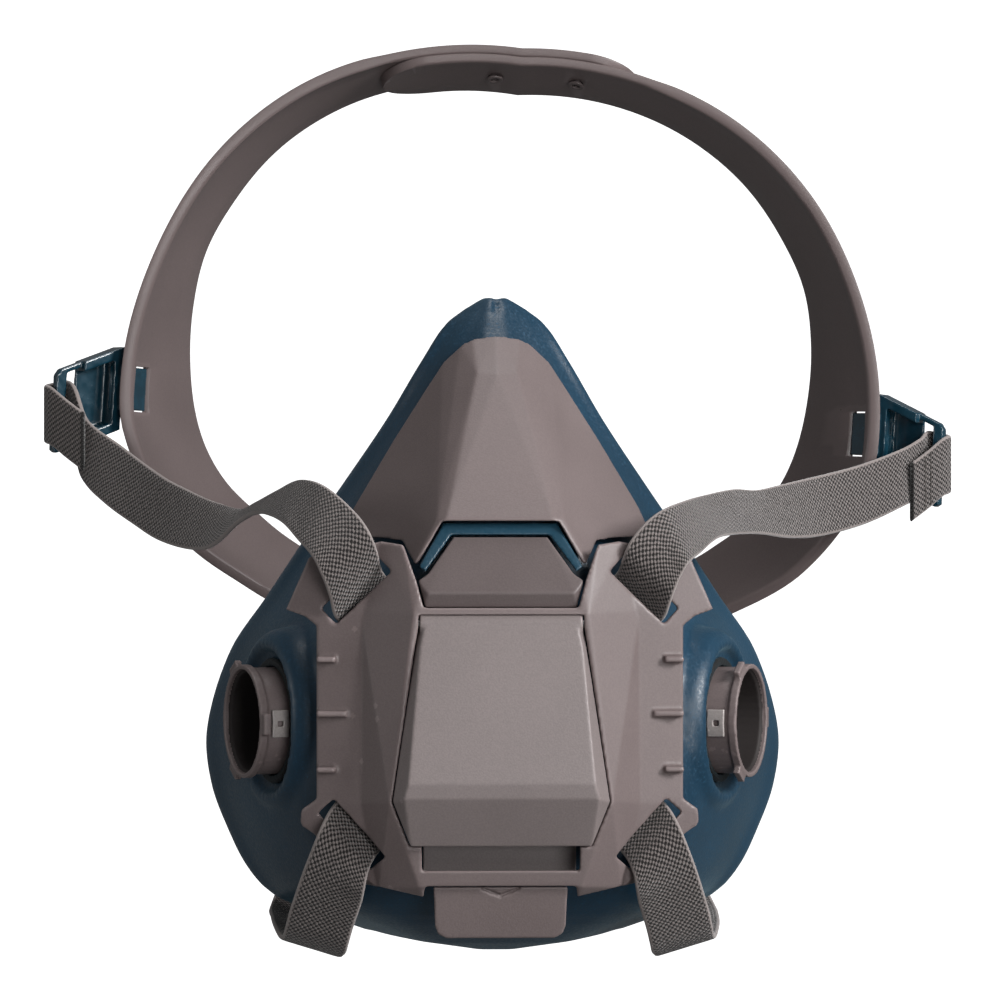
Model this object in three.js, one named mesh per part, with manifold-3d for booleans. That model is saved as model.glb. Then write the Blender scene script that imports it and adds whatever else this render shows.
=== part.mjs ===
// Half-mask respirator with a head cradle: a silicone face seal, a hard front with a latch plate,
// two bayonet filter ports, valves, webbing straps, buckles and a neck clasp.
// Millimetres. +Z is up, -Y is the way the wearer looks, X = 0 is the mask's middle plane,
// and Z = 0 is the height of the port axes.

import * as THREE from 'three';
import { mergeVertices } from 'three/addons/utils/BufferGeometryUtils.js';
import { ConvexGeometry } from 'three/addons/geometries/ConvexGeometry.js';
import Module from 'manifold-3d';

// ---------------------------------------------------------------- driving dimensions
const GAP = 0.4;                    // clearance between neighbouring pieces
const LATCH_GAP = 0.3;              // clearance round the latch plate
const SEAL_WALL = 2.6;              // silicone wall
const SHELL_WALL = 2.2;             // hard shell wall, measured along Y
const PORT_BASE = [55.4, -32, 0];   // where the port axis meets the cheek
const PORT_LEAN = 68;               // degrees between the port axis and straight ahead
const PORT_BORE = 12.2;             // radius
const TUBE_RADIUS = 13.2;
const RIM_RADIUS = 14;
const RIM_HEIGHT = 8.2;
const EXHALE_CENTRE = [0, -60, -13];
const EXHALE_RADIUS = 16;
const HINGE_Y = -69.5;              // latch hinge axis
const HINGE_Z = 25;
const BARREL_RADIUS = 3.3;
const PIN_RADIUS = 0.9;
const LATCH_HALF = 19.3;
const TAB_TOP = -37.4;
const CRADLE_CENTRE = [3.6, 81.7];  // X and Z of the middle of the head loop
const CRADLE_ROLL = 3.5;            // degrees the cradle hangs out of level
const BAND_THICKNESS = 2;
const CROWN_LIFT = BAND_THICKNESS + GAP;
const SLOT_Z = -3;                  // buckle slots, from the loop's middle
const SLOT_Y = 68.3;
const SLOT_HALF = [3.7, 6.2];       // half its reach along Y and along Z
const WEBBING_WIDTH = 15.9;
const WEBBING_THICKNESS = 1.3;
const CLASP = [0, 78, -33.5];       // axis of the neck clasp

// ---------------------------------------------------------------- materials
const finish = (color, roughness, metalness = 0) => ({ color, roughness, metalness });
const TEAL = finish(0x1e4b5f, 0.55);
const DARK_TEAL = finish(0x123a4c, 0.3);
const TAUPE = finish(0x6e6363, 0.6);
const LIGHT_TAUPE = finish(0x7d7474, 0.55);
const WEBBING = finish(0x6a6560, 0.95);
const FLAP = finish(0x3a3634, 0.7);
const CLIP = finish(0xa8a29c, 0.45);
const STEEL = finish(0xb5b5b8, 0.3, 1);

// ---------------------------------------------------------------- solids
const wasm = await Module();
wasm.setup();

function solid(geometry) {
  const bare = geometry.clone();
  bare.deleteAttribute('normal');
  bare.deleteAttribute('uv');
  const merged = mergeVertices(bare, 1e-4);
  return new wasm.Manifold(new wasm.Mesh({
    numProp: 3,
    vertProperties: merged.attributes.position.array,
    triVerts: new Uint32Array(merged.index.array),
  }));
}

function geometryOf(manifold) {
  const made = manifold.getMesh();
  const geometry = new THREE.BufferGeometry();
  geometry.setAttribute('position', new THREE.BufferAttribute(made.vertProperties, 3));
  geometry.setIndex(new THREE.BufferAttribute(made.triVerts, 1));
  return geometry;
}

function node(name, shape, { color, roughness, metalness }) {
  const geometry = shape.isBufferGeometry ? shape : geometryOf(shape);
  const mesh = new THREE.Mesh(geometry, new THREE.MeshStandardMaterial({ color, roughness, metalness }));
  mesh.name = name;
  return mesh;
}

const vector = (p) => new THREE.Vector3(...p);
const bothSides = (points) => points.flatMap(([x, y, z]) => (x === 0 ? [[0, y, z]] : [[x, y, z], [-x, y, z]]));
const hull = (points) => solid(new ConvexGeometry(points.map(vector)));
const union = (list) => list.reduce((sum, one) => sum.add(one));

// A block between two corners.
function block(low, high) {
  const size = high.map((h, i) => h - low[i]);
  const middle = high.map((h, i) => (h + low[i]) / 2);
  return solid(new THREE.BoxGeometry(...size).translate(...middle));
}

// An outline in X and Z, pushed through from one Y to another.
function prism(outline, front, back) {
  const shape = new THREE.Shape(outline.map(([x, z]) => new THREE.Vector2(x, z)));
  const geometry = new THREE.ExtrudeGeometry(shape, { depth: back - front, bevelEnabled: false });
  return solid(geometry.rotateX(Math.PI / 2).translate(0, back, 0));
}

// Right half of an outline, from its top to its bottom, closed by its mirror image.
const symmetric = (half) => [...half, ...half.filter(([x]) => x !== 0).reverse().map(([x, z]) => [-x, z])];

// A turned piece about +Y of its own frame, from [radius, height] pairs.
function turned(profile, segments = 28) {
  const points = profile.map(([r, h]) => new THREE.Vector2(r, h));
  if (profile[0][0] !== 0) points.push(points[0].clone());
  const made = solid(new THREE.LatheGeometry(points, segments));
  return made.volume() < 0 ? turned([...profile].reverse(), segments) : made;
}

function cylinderX(radius, halfLength, y, z, segments = 28) {
  const geometry = new THREE.CylinderGeometry(radius, radius, 2 * halfLength, segments);
  return solid(geometry.rotateZ(Math.PI / 2).translate(0, y, z));
}

// A smooth table: value at `at`, from [position, value] pairs in rising order.
function table(pairs) {
  const at = pairs.map(([p]) => p);
  const values = pairs.map(([, v]) => v);
  const cubic = new THREE.CubicInterpolant(at, values, 1);
  return (p) => cubic.evaluate(THREE.MathUtils.clamp(p, at[0], at[at.length - 1]))[0];
}

// A closed skin through rings of points, with flat ends.
function loft(rings) {
  const count = rings[0].length;
  const positions = rings.flat().flatMap((p) => [p.x, p.y, p.z]);
  const faces = [];
  for (let r = 0; r + 1 < rings.length; r++) {
    for (let i = 0; i < count; i++) {
      const a = r * count + i;
      const b = r * count + ((i + 1) % count);
      faces.push(a, b, b + count, a, b + count, a + count);
    }
  }
  for (const [ring, first, turn] of [[rings[0], 0, 1], [rings.at(-1), (rings.length - 1) * count, 0]]) {
    const middle = ring.reduce((sum, p) => sum.add(p), new THREE.Vector3()).divideScalar(count);
    const hub = positions.length / 3;
    positions.push(middle.x, middle.y, middle.z);
    for (let i = 0; i < count; i++) {
      const a = first + i;
      const b = first + ((i + 1) % count);
      faces.push(...(turn ? [hub, b, a] : [hub, a, b]));
    }
  }
  const geometry = new THREE.BufferGeometry();
  geometry.setAttribute('position', new THREE.Float32BufferAttribute(positions, 3));
  geometry.setIndex(faces);
  const made = solid(geometry);
  if (made.volume() > 0) return made;
  for (let f = 0; f < faces.length; f += 3) [faces[f + 1], faces[f + 2]] = [faces[f + 2], faces[f + 1]];
  geometry.setIndex(faces);
  return solid(geometry);
}

// ---------------------------------------------------------------- face seal
// The seal's section at each height: half width, front, widest line, rim and where the cheek turns.
const sealWidth = table([[-58.3, 9], [-56, 30], [-52, 42], [-47, 55], [-40, 62.5], [-30, 68], [-18, 72.5],
  [-4, 73.6], [16, 67.5], [30, 58], [45, 48], [60, 37.5], [75, 27.3], [90, 18.3], [100, 11.5], [105.6, 3]]);
const sealFront = table([[-58.3, -20], [-56, -29], [-52, -38], [-47, -46], [-40, -52], [-30, -55], [-10, -56],
  [30, -56], [45, -55.5], [60, -50.5], [75, -40.5], [90, -28], [100, -20], [105.6, -16]]);
const sealWidest = table([[-58.3, 2], [-47, -2], [-30, 3], [0, 7], [16, 6], [30, 3], [45, -1], [60, -6],
  [75, -11], [90, -15], [105.6, -13]]);
const sealTurn = table([[-58.3, 0.5], [-40, 0.6], [16, 0.62], [30, 0.56], [38, 0.48], [45, 0.41], [52, 0.37],
  [60, 0.33], [75, 0.26], [90, 0.22], [105.6, 0.2]]);
const sealRim = (z) => 14 - 0.0016 * (z + 10) ** 2;
const SEAL_LEVELS = [-58.3, -56, -52, -47, -40, -30, -18, -4, 8, 16, 23, 30, 38, 45, 52, 60, 67, 75, 83, 90,
  95, 100, 103.5, 105.6];

function sealRing(z, inset, back) {
  const width = Math.max(sealWidth(z) - inset, 0.8);
  const front = Math.min(sealFront(z) + inset, sealWidest(z) - 0.5);
  const widest = sealWidest(z);
  const corner = new THREE.Vector2(sealTurn(z) * width, front);
  const edge = new THREE.Vector2(width, widest);
  const soft = 0.22;
  const start = corner.clone().multiply(new THREE.Vector2(1 - 1.4 * soft, 1));
  const end = corner.clone().lerp(edge, soft);
  const bend = new THREE.QuadraticBezierCurve(start, corner, end);
  const nearEdge = corner.clone().lerp(edge, 0.85);
  const flank = corner.clone().lerp(edge, 0.55).add(new THREE.Vector2(0.012 * width, -0.4));
  const half = [new THREE.Vector2(0, front), ...bend.getPoints(3), flank, nearEdge, edge,
    new THREE.Vector2(width - 0.4, back)];
  const left = half.slice(1).reverse().map((p) => new THREE.Vector2(-p.x, p.y));
  return [...left, ...half].map((p) => new THREE.Vector3(p.x, p.y, z));
}

function portFrame(side) {
  const lean = THREE.MathUtils.degToRad(PORT_LEAN);
  const axis = new THREE.Vector3(side * Math.sin(lean), -Math.cos(lean), 0);
  const turn = new THREE.Quaternion().setFromUnitVectors(new THREE.Vector3(0, 1, 0), axis);
  const [x, y, z] = PORT_BASE;
  return new THREE.Matrix4().compose(new THREE.Vector3(side * x, y, z), turn, new THREE.Vector3(1, 1, 1));
}

const place = (made, matrix) => solid(geometryOf(made).applyMatrix4(matrix));

function faceSeal() {
  const outer = loft(SEAL_LEVELS.map((z) => sealRing(z, 0, sealRim(z))));
  const innerLevels = SEAL_LEVELS.slice(1, -3).filter((_, i) => i % 2 === 0);
  const inner = loft(innerLevels.map((z) => sealRing(z, SEAL_WALL, 40)));
  const boss = turned([[0, -15], [27, -15], [25.5, -6], [23.5, -2.5], [22, -0.4], [20.5, 1.5], [18.9, 2.2],
    [17.8, 1.6], [17.4, -0.6], [0, -0.6]], 36);
  const hollow = turned([[0, -22], [22.5, -22], [21.8, -6], [20.4, -3.4], [0, -3.4]], 28);
  const floor = turned([[0, -3.4], [20, -3.4], [20, -0.8], [0, -0.8]], 28);
  const recess = turned([[0, -0.6], [17.4, -0.6], [17.8, 1.6], [20, 7], [0, 7]], 36);
  const hole = turned([[0, -8], [TUBE_RADIUS + GAP, -8], [TUBE_RADIUS + GAP, 3], [0, 3]], 32);
  const frames = [portFrame(-1), portFrame(1)];
  const behindSkin = loft(SEAL_LEVELS.map((z) => sealRing(z, 0.6, sealRim(z))));
  const cutBoss = place(boss, frames[0]).add(place(boss, frames[1]));
  const rear = block([-90, 2, -70], [90, 60, 120]);
  const body = outer.add(cutBoss.subtract(rear));
  const cavity = inner.add(place(hollow, frames[0]).intersect(behindSkin.add(cutBoss)))
    .add(place(hollow, frames[1]).intersect(behindSkin.add(cutBoss)));
  const exhale = turned([[0, -12], [EXHALE_RADIUS - 2.4, -12], [EXHALE_RADIUS - 2.4, 12], [0, 12]], 32);
  const exhaleHole = place(exhale, new THREE.Matrix4().makeTranslation(...EXHALE_CENTRE));
  const walled = frames.reduce((sum, frame) => sum.add(place(floor, frame)), body.subtract(cavity));
  return frames.flatMap((frame) => [place(recess, frame), place(hole, frame)])
    .reduce((sum, cut) => sum.subtract(cut), walled)
    .subtract(exhaleHole);
}

// ---------------------------------------------------------------- hard front
const NOSE_OUTLINE = symmetric([[0, 95.3], [4.5, 95], [8, 93.5], [13, 89], [18.5, 80.5], [25.8, 69],
  [35.5, 52.5], [38.5, 45.6], [28.9, 45.3], [23.4, 44.7], [20.6, 39.3], [19.7, 39.3], [13.9, 49.5]]);
const NOSE_HULL = bothSides([[0, -26.5, 95.6], [6, -26, 94.8], [9, -25.5, 93.4], [13.4, -24.6, 89.2],
  [19, -23.6, 80.5], [26.4, -24.4, 69], [36.3, -26, 52.5], [39.6, -29, 44], [39.6, -31, 38],
  [0, -38, 85.5], [5, -36.5, 86], [8.4, -41.6, 77.6], [15.2, -63.6, 50], [6.6, -43.2, 77],
  [12.9, -65.4, 49.8], [21.5, -64.5, 38], [12.9, -66.5, 38]]);

function noseShell() {
  const skin = hull(NOSE_HULL);
  return skin.subtract(skin.translate([0, SHELL_WALL, 0])).intersect(prism(NOSE_OUTLINE, -75, -10));
}

const COVER_OUTLINE = symmetric([[0, 45.6], [11.2, 45.6], [17.3, 36.9], [19.6, 35.3], [17.95, 28.9]]);
const COVER_HULL = bothSides([[11.2, -64.6, 45.8], [17.5, -71.4, 32.5], [18.2, -70.2, 28.8],
  [17.8, -71, 31.8], [11.2, -61.6, 45.8], [18.2, -67, 28.8], [20, -69.4, 35.4], [20, -66.4, 35.4]]);
const GASKET_OUTLINE = symmetric([[0, 48.9], [13.6, 48.9], [19.5, 38.6], [18, 37.5], [11.7, 46.1],
  [0, 46.1]]);

// The gasket's face leans with the cover above which it shows.
function bridgeGasket() {
  const slab = hull([50, 35].flatMap((z) => {
    const face = -61.9 - (50 - z) * 0.5;
    return [[-25, face, z], [25, face, z], [-25, face + 1.8, z], [25, face + 1.8, z]];
  }));
  return slab.intersect(prism(GASKET_OUTLINE, -80, -50));
}

const YOKE_OUTLINE = symmetric([[0, 28.9], [18.4, 28.9], [20.2, 35.5], [23.2, 43.8], [28.5, 44.6],
  [45.8, 40.8], [51.4, 28.2], [46.8, 26.6], [44, 24.4], [44, -17.2], [47.6, -19.8], [48, -23.4],
  [44.4, -25.8], [32.6, -38.2], [29, -38], [18.4, -40.2], [18, TAB_TOP - 0.1], [17.6, TAB_TOP], [0, TAB_TOP]]);
const WING_HULL = bothSides([[52, -58.6, 28], [46, -59.4, 41.5], [44, -61, 24.5], [44, -61, -17],
  [48.5, -59.4, -20], [47, -58.8, -26], [33, -64, 28], [34, -64, -18], [28.5, -63.4, 45],
  [29, -62, -38.5], [18.5, -63.6, -41], [52, -54, 28], [46, -54, 41.5], [48.5, -54, -20], [18.5, -54, -41],
  [28.5, -54, 45], [33, -54, -38.5], [47, -54, -26]]);
const CENTRE_HULL = bothSides([[33.5, -63.4, 28], [34, -63.4, -18], [20.7, -72.6, 27.5], [26.4, -73.2, -17],
  [22.4, -69.6, -28], [19.4, -68.8, -33.8], [19.4, -68, -37.6], [18.5, -64.6, -41], [19.2, -71.4, 33],
  [23.2, -67, 43.9], [28.6, -63.4, 44.8], [29, -62.6, -38.3], [29, -63.4, -30.5], [30, -55, 28],
  [30, -55, -38], [20, -55, 43]]);
const LATCH_OUTLINE = symmetric([[0, HINGE_Z], [LATCH_HALF, HINGE_Z], [20.2, 19.5], [25.6, -16.8],
  [21.4, -27.5], [0, -27.6]]);
const LATCH_HULL = bothSides([[18, -72.8, HINGE_Z], [19.2, -73.9, 19.5], [22, -79, -12.2],
  [23, -78.4, -15.8], [LATCH_HALF, -70.4, HINGE_Z], [20.4, -71.4, 19.5], [26, -73.6, -17],
  [21.6, -72.2, -27.7], [LATCH_HALF, -67.4, HINGE_Z], [26, -68.4, -17], [21.6, -68.4, -27.7]]);
const SLOT_OUTLINE = symmetric([[0, -27], [18.8, -27], [18.8, -33.7], [0, -33.7]]);

// An outline moved out by a clearance, for the opening that a piece sits in.
function widened(outline, by) {
  const middle = outline.reduce((sum, [, z]) => sum + z, 0) / outline.length;
  const reachX = Math.max(...outline.map(([x]) => Math.abs(x)));
  const reachZ = Math.max(...outline.map(([, z]) => Math.abs(z - middle)));
  return outline.map(([x, z]) => [x * (1 + by / reachX), middle + (z - middle) * (1 + by / reachZ)]);
}

// The opening that a strap passes through: a bar-shaped slot, turned to lie across the strap.
function strapSlot([x, z], side, along) {
  const turn = Math.atan2(along[1], along[0]);
  const corners = [[-9.2, -2.6], [9.2, -2.6], [9.2, 2.6], [-9.2, 2.6]].map(([u, v]) => [
    side * (x + u * Math.cos(turn) - v * Math.sin(turn)), z + u * Math.sin(turn) + v * Math.cos(turn)]);
  return prism(side > 0 ? corners : corners.reverse(), -80, -45);
}

const RIBS = [[39.4, 44.2, 16.4], [36.8, 44.2, 3.4], [39.4, 44.2, -10]];

function yoke() {
  const skin = hull(WING_HULL).add(hull(CENTRE_HULL));
  const ear = cylinderX(2.7, 2, 0, 0).translate([22.4, HINGE_Y + 0.6, HINGE_Z]);
  const ears = ear.add(ear.mirror([1, 0, 0])).intersect(skin.translate([0, 0.2, 0]));
  const ribs = [-1, 1].flatMap((side) => RIBS.map(([x0, x1, z]) => {
    const [low, high] = side > 0 ? [x0, x1] : [-x1, -x0];
    return block([low, -64.2, z - 0.7], [high, -60.2, z + 0.7]);
  }));
  const shell = skin.subtract(skin.translate([0, SHELL_WALL, 0])).add(ears);
  const slots = [-1, 1].flatMap((side) => [
    strapSlot([34.4, 33], side, [0.72, -0.69]),
    strapSlot([35.5, -25.5], side, [0.68, 0.74]),
  ]);
  const cuts = [prism(widened(LATCH_OUTLINE, LATCH_GAP), -90, -50), prism(SLOT_OUTLINE, -90, -50),
    cylinderX(BARREL_RADIUS + GAP, LATCH_HALF + GAP, HINGE_Y, HINGE_Z),
    cylinderX(PIN_RADIUS + 0.3, 23, HINGE_Y, HINGE_Z, 20), ...slots];
  const body = union([shell, ...ribs]).intersect(prism(YOKE_OUTLINE, -90, -45));
  return cuts.reduce((sum, cut) => sum.subtract(cut), body);
}

function latchPlate() {
  const plate = hull(LATCH_HULL).intersect(prism(LATCH_OUTLINE, -90, -60));
  const barrel = cylinderX(BARREL_RADIUS, LATCH_HALF, HINGE_Y, HINGE_Z);
  return plate.add(barrel).subtract(cylinderX(PIN_RADIUS + 0.3, 30, HINGE_Y, HINGE_Z, 20));
}

const TAB_OUTLINE = symmetric([[0, TAB_TOP - GAP], [16, TAB_TOP - GAP], [15.6, -47.4], [14.9, -49.3],
  [13, -50.4], [0, -50.4]]);

function releaseTab() {
  const skin = hull(bothSides([[16.4, -66.6, TAB_TOP], [16.4, -62.4, -51], [16.4, -60.2, -51],
    [16.4, -64.2, TAB_TOP]]));
  const mark = [-1, 1].map((side) => hull([[0, -70, -40.4], [0, -70, -39.4], [side * 4.6, -70, -38.4],
    [side * 4.6, -70, -37.6], [0, -65.2, -40.4], [0, -65.2, -39.4], [side * 4.6, -65.6, -38.4],
    [side * 4.6, -65.6, -37.6]]));
  return skin.intersect(prism(TAB_OUTLINE, -80, -50)).subtract(union(mark));
}

// ---------------------------------------------------------------- inside frame
const FRAME_OUTLINE = symmetric([[0, 34], [15, 33], [24, 24], [28, 6], [27, -18], [18, -28], [0, -30]]);

function innerFrame() {
  const [x, y, z] = EXHALE_CENTRE;
  const hole = turned([[0, -12], [EXHALE_RADIUS - 2, -12], [EXHALE_RADIUS - 2, 12], [0, 12]]);
  return prism(FRAME_OUTLINE, -51.6, -50)
    .subtract(hole.translate([x, y, z]))
    .subtract(block([-12, -60, 8], [12, -40, 26]));
}

// ---------------------------------------------------------------- valves and ports
// A round seat with three spokes and a drilled hub, about +Y of its own frame.
function valveSeat(rim, height, bottom) {
  const ring = turned([[rim - 2, bottom], [rim, bottom], [rim, bottom + height], [rim - 2, bottom + height]]);
  const hub = turned([[0, bottom], [2.6, bottom], [2.6, bottom + height], [0, bottom + height]], 20);
  const spokes = [90, 210, 330].map((angle) => {
    const bar = new THREE.BoxGeometry(rim - 1, height * 0.8, 1.6).translate((rim - 1) / 2, 0, 0);
    bar.rotateY(THREE.MathUtils.degToRad(angle)).translate(0, bottom + height / 2, 0);
    return solid(bar);
  });
  const bore = turned([[0, bottom - 1], [1.35, bottom - 1], [1.35, bottom + height + 1],
    [0, bottom + height + 1]], 16);
  return union([ring, hub, ...spokes]).subtract(bore);
}

const flap = (radius, bottom, height) => turned([[1.35, bottom], [radius, bottom + 0.15],
  [radius, bottom + height - 0.15], [1.35, bottom + height]]);

// The plug that holds a flap on its seat: a shaft with a head at each end.
const valvePlug = (low, high) => turned([[0, low], [2.3, low], [2.3, low + 0.7], [1, low + 0.9],
  [1, high - 0.9], [2, high - 0.7], [1.4, high], [0, high]], 16);

function portTube() {
  const tube = turned([[PORT_BORE, -5.6], [18.6, -5.6], [18.6, -3.8], [TUBE_RADIUS, -3.8], [TUBE_RADIUS, 5.8],
    [RIM_RADIUS, 6.3], [RIM_RADIUS, RIM_HEIGHT], [12.8, RIM_HEIGHT], [12.8, 7], [PORT_BORE, 6.6]], 40);
  const lugs = [60, 180, 300].map((angle) => {
    const lug = new THREE.BoxGeometry(2.6, 1.7, 5.2).translate(RIM_RADIUS + 0.4, 7.1, 0);
    return solid(lug.rotateY(THREE.MathUtils.degToRad(angle)));
  });
  const shaped = union([tube, ...lugs]);
  const bore = turned([[0, 6.9], [12.8, 6.9], [12.8, 9], [0, 9]], 40);
  return shaped.subtract(bore);
}

const portGasket = () => turned([[TUBE_RADIUS + GAP, -0.25], [15.8, -0.25], [15.2, 0.7], [TUBE_RADIUS + GAP, 0.5]]);

// A light catch on the front of the tube, with a small square window.
function portCatch(side) {
  const shape = turned([[TUBE_RADIUS + 0.3, 0.9], [TUBE_RADIUS + 1.1, 0.9], [TUBE_RADIUS + 1.1, 5.2],
    [TUBE_RADIUS + 0.3, 5.2]], 48);
  const window = new THREE.BoxGeometry(20, 1.4, 1.4).translate(side * TUBE_RADIUS, 3.2, 0);
  const keep = new THREE.BoxGeometry(12, 20, 6.6).translate(side * TUBE_RADIUS, 3, 0);
  return shape.intersect(solid(keep)).subtract(solid(window));
}

function portPieces(side, label) {
  const frame = portFrame(side);
  const pieces = [
    node(`${label}_port`, portTube(), TAUPE),
    node(`${label}_port_gasket`, portGasket(), DARK_TEAL),
    node(`${label}_port_catch`, portCatch(side), CLIP),
    node(`${label}_inhale_seat`, valveSeat(PORT_BORE - GAP, 1.8, -5.4), LIGHT_TAUPE),
    node(`${label}_inhale_flap`, flap(11, -6.7, 0.8), FLAP),
    node(`${label}_inhale_plug`, valvePlug(-9.6, -2.4), FLAP),
  ];
  const group = new THREE.Group();
  group.applyMatrix4(frame);
  group.add(...pieces);
  return group;
}

// The exhalation valve faces forward: its frame's +Y is straight ahead. A skirt below the seat backs
// the outlet slot.
function exhalePieces() {
  const seat = valveSeat(EXHALE_RADIUS - 2.8, 2.6, -1.2)
    .add(turned([[EXHALE_RADIUS - 4.4, 0], [EXHALE_RADIUS, 0], [EXHALE_RADIUS, 1.5], [EXHALE_RADIUS - 4.4, 1.5]]))
    .add(block([-18.4, 0.4, -22.5], [18.4, 1.4, -14]));
  const group = new THREE.Group();
  group.position.set(...EXHALE_CENTRE);
  group.rotation.set(0, 0, Math.PI);
  group.add(
    node('exhale_seat', seat.translate([0, -3.2, 0]), LIGHT_TAUPE),
    node('exhale_flap', flap(EXHALE_RADIUS - 2.2, -1.4, 0.9), FLAP),
    node('exhale_plug', valvePlug(-5.6, 2.4), FLAP),
  );
  return group;
}

// ---------------------------------------------------------------- head cradle
// Front and rear edges of the band by angle from the crown: radius about the loop's middle, and Y.
// The last pair of each lies past the bottom, and keeps the curve level there.
const frontRadius = table([[0, 93.7], [21, 96.6], [37, 99.3], [53, 101.1], [69, 101.9], [90, 103.3],
  [98, 103], [116, 95.7], [130, 86.5], [153, 76.5], [180, 73], [207, 76.5]]);
const rearRadius = table([[0, 87], [22, 90.7], [34, 92.5], [45, 93.6], [56, 93.6], [66, 93.4], [76, 91.2],
  [85, 88.9], [100, 85.2], [109, 81.4], [120, 74.8], [142, 65.6], [180, 62], [218, 65.6]]);
const frontDepth = table([[0, 62], [95, 62], [116, 72], [130, 82], [153, 98], [180, 104], [207, 98]]);
const rearDepth = table([[0, 82], [22, 84], [45, 90], [66, 94], [90, 95.5], [109, 98], [130, 106],
  [153, 115], [180, 120], [207, 115]]);
const OUTER_END = 19.5;             // degrees past the crown, for the arm that lies outside
const INNER_END = -384;             // the other arm's end, going on round the loop
const BAND_STEP = 6;

function bandPoint(angle, rear, out) {
  const from = Math.abs(((angle % 360) + 540) % 360 - 180);
  const radius = (rear ? rearRadius : frontRadius)(from) + out;
  const depth = (rear ? rearDepth : frontDepth)(from);
  const turn = THREE.MathUtils.degToRad(angle);
  return new THREE.Vector3(radius * Math.sin(turn), depth, radius * Math.cos(turn));
}

function cradleBand() {
  const rings = [];
  for (let angle = OUTER_END; angle >= INNER_END; angle -= BAND_STEP) {
    const lift = CROWN_LIFT * (1 - THREE.MathUtils.smoothstep(-angle, 26, 80));
    rings.push([bandPoint(angle, false, lift), bandPoint(angle, true, lift),
      bandPoint(angle, true, lift - BAND_THICKNESS), bandPoint(angle, false, lift - BAND_THICKNESS)]);
  }
  const slots = [-1, 1].map((side) => {
    const x = side * 100;
    const [reachY, reachZ] = SLOT_HALF;
    return block([x - 15, SLOT_Y - reachY, SLOT_Z - reachZ], [x + 15, SLOT_Y + reachY, SLOT_Z + reachZ]);
  });
  return slots.reduce((sum, cut) => sum.subtract(cut), loft(rings));
}

// A sizing button: its shaft goes through both arms at the crown.
function crownButton(angle) {
  const low = bandPoint(angle, false, 0);
  const high = bandPoint(angle, true, 0);
  const middle = low.clone().lerp(high, 0.5);
  const across = high.clone().sub(low).normalize();
  const along = new THREE.Vector3(Math.cos(THREE.MathUtils.degToRad(angle)), 0,
    -Math.sin(THREE.MathUtils.degToRad(angle)));
  const out = across.clone().cross(along).normalize();
  if (out.z < 0) out.negate();
  const turn = new THREE.Quaternion().setFromUnitVectors(new THREE.Vector3(0, 1, 0), out);
  return new THREE.Matrix4().compose(middle, turn, new THREE.Vector3(1, 1, 1));
}

const BUTTON_ANGLES = [-4.5, 10];
const buttonShape = () => turned([[0, -3], [2.3, -3], [2.3, -2.4], [1.4, -2.3], [1.4, 2.9], [3.4, 3.1],
  [3, 3.9], [0, 3.9]], 20);
const buttonHole = () => turned([[0, -6], [1.8, -6], [1.8, 6], [0, 6]], 20);

// A four-sided ring sheared to the strap's pull, clipped into the band's slot by a tongue.
const RING_CORNER = [105.8, 68.2, -3.4];
const RING_ACROSS = [13.4, -8.6, -6.6];
const RING_HALF_HEIGHT = 11.4;
const RING_BAR = 3;
const RING_RAIL = 1.6;
const RING_THICKNESS = 2.6;
const RING_DEPTH = 6.2;

// A flat ring in X and Y, with a wide bar at its start and two rails.
function ring(outline, reach, rail, thickness) {
  const frame = new THREE.Shape(outline.map(([x, y]) => new THREE.Vector2(x, y)));
  const inside = RING_HALF_HEIGHT - rail;
  const opening = [[RING_BAR - 1, -inside], [RING_BAR - 1, inside], [reach - 0.8, inside], [reach - 0.8, -inside]];
  frame.holes.push(new THREE.Path(opening.map(([x, y]) => new THREE.Vector2(x, y))));
  return solid(new THREE.ExtrudeGeometry(frame, { depth: thickness, bevelEnabled: false })
    .translate(0, 0, -thickness / 2));
}

// The tongue that fills the band's slot; its end lies along the band's inner face.
function tongue(side) {
  const [reachY, reachZ] = SLOT_HALF;
  return hull([-1, 1].flatMap((rear) => {
    const y = SLOT_Y + rear * (reachY - GAP);
    const end = 101.7 - 0.466 * (y - 62);
    return [-1, 1].flatMap((top) => {
      const height = SLOT_Z + top * (reachZ - GAP);
      return [[side * end, y, height], [side * 107, SLOT_Y + rear * 2.5, height]];
    });
  }));
}

function buckle(side) {
  const [x, y, z] = RING_CORNER;
  const across = new THREE.Vector3(side * RING_ACROSS[0], RING_ACROSS[1], RING_ACROSS[2]);
  const reach = across.length();
  const up = new THREE.Vector3(0, 0, 1);
  const thick = across.clone().setZ(0).cross(up).normalize();
  const basis = new THREE.Matrix4().makeBasis(across.clone().normalize(), up, thick)
    .setPosition(side * x, y, z);
  const h = RING_HALF_HEIGHT;
  const outline = [[-1, -h], [reach + 1.2, -h], [reach + 2.4, -h + 1.2], [reach + 2.4, h - 1.2],
    [reach + 1.2, h], [-1, h]];
  const slim = ring(outline, reach, RING_RAIL, RING_THICKNESS);
  const stout = ring(outline, reach, RING_RAIL + 1.2, RING_DEPTH)
    .intersect(block([-5, -20, -5], [reach - 5.5, 20, 5]));
  const web = block([0, 1 - h, -0.5], [reach - 5.5, h - 1, 0.5])
    .translate([0, 0, -side * (RING_DEPTH / 2 - 0.5)]);
  return place(union([slim, stout, web]), basis).add(tongue(side));
}

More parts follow.
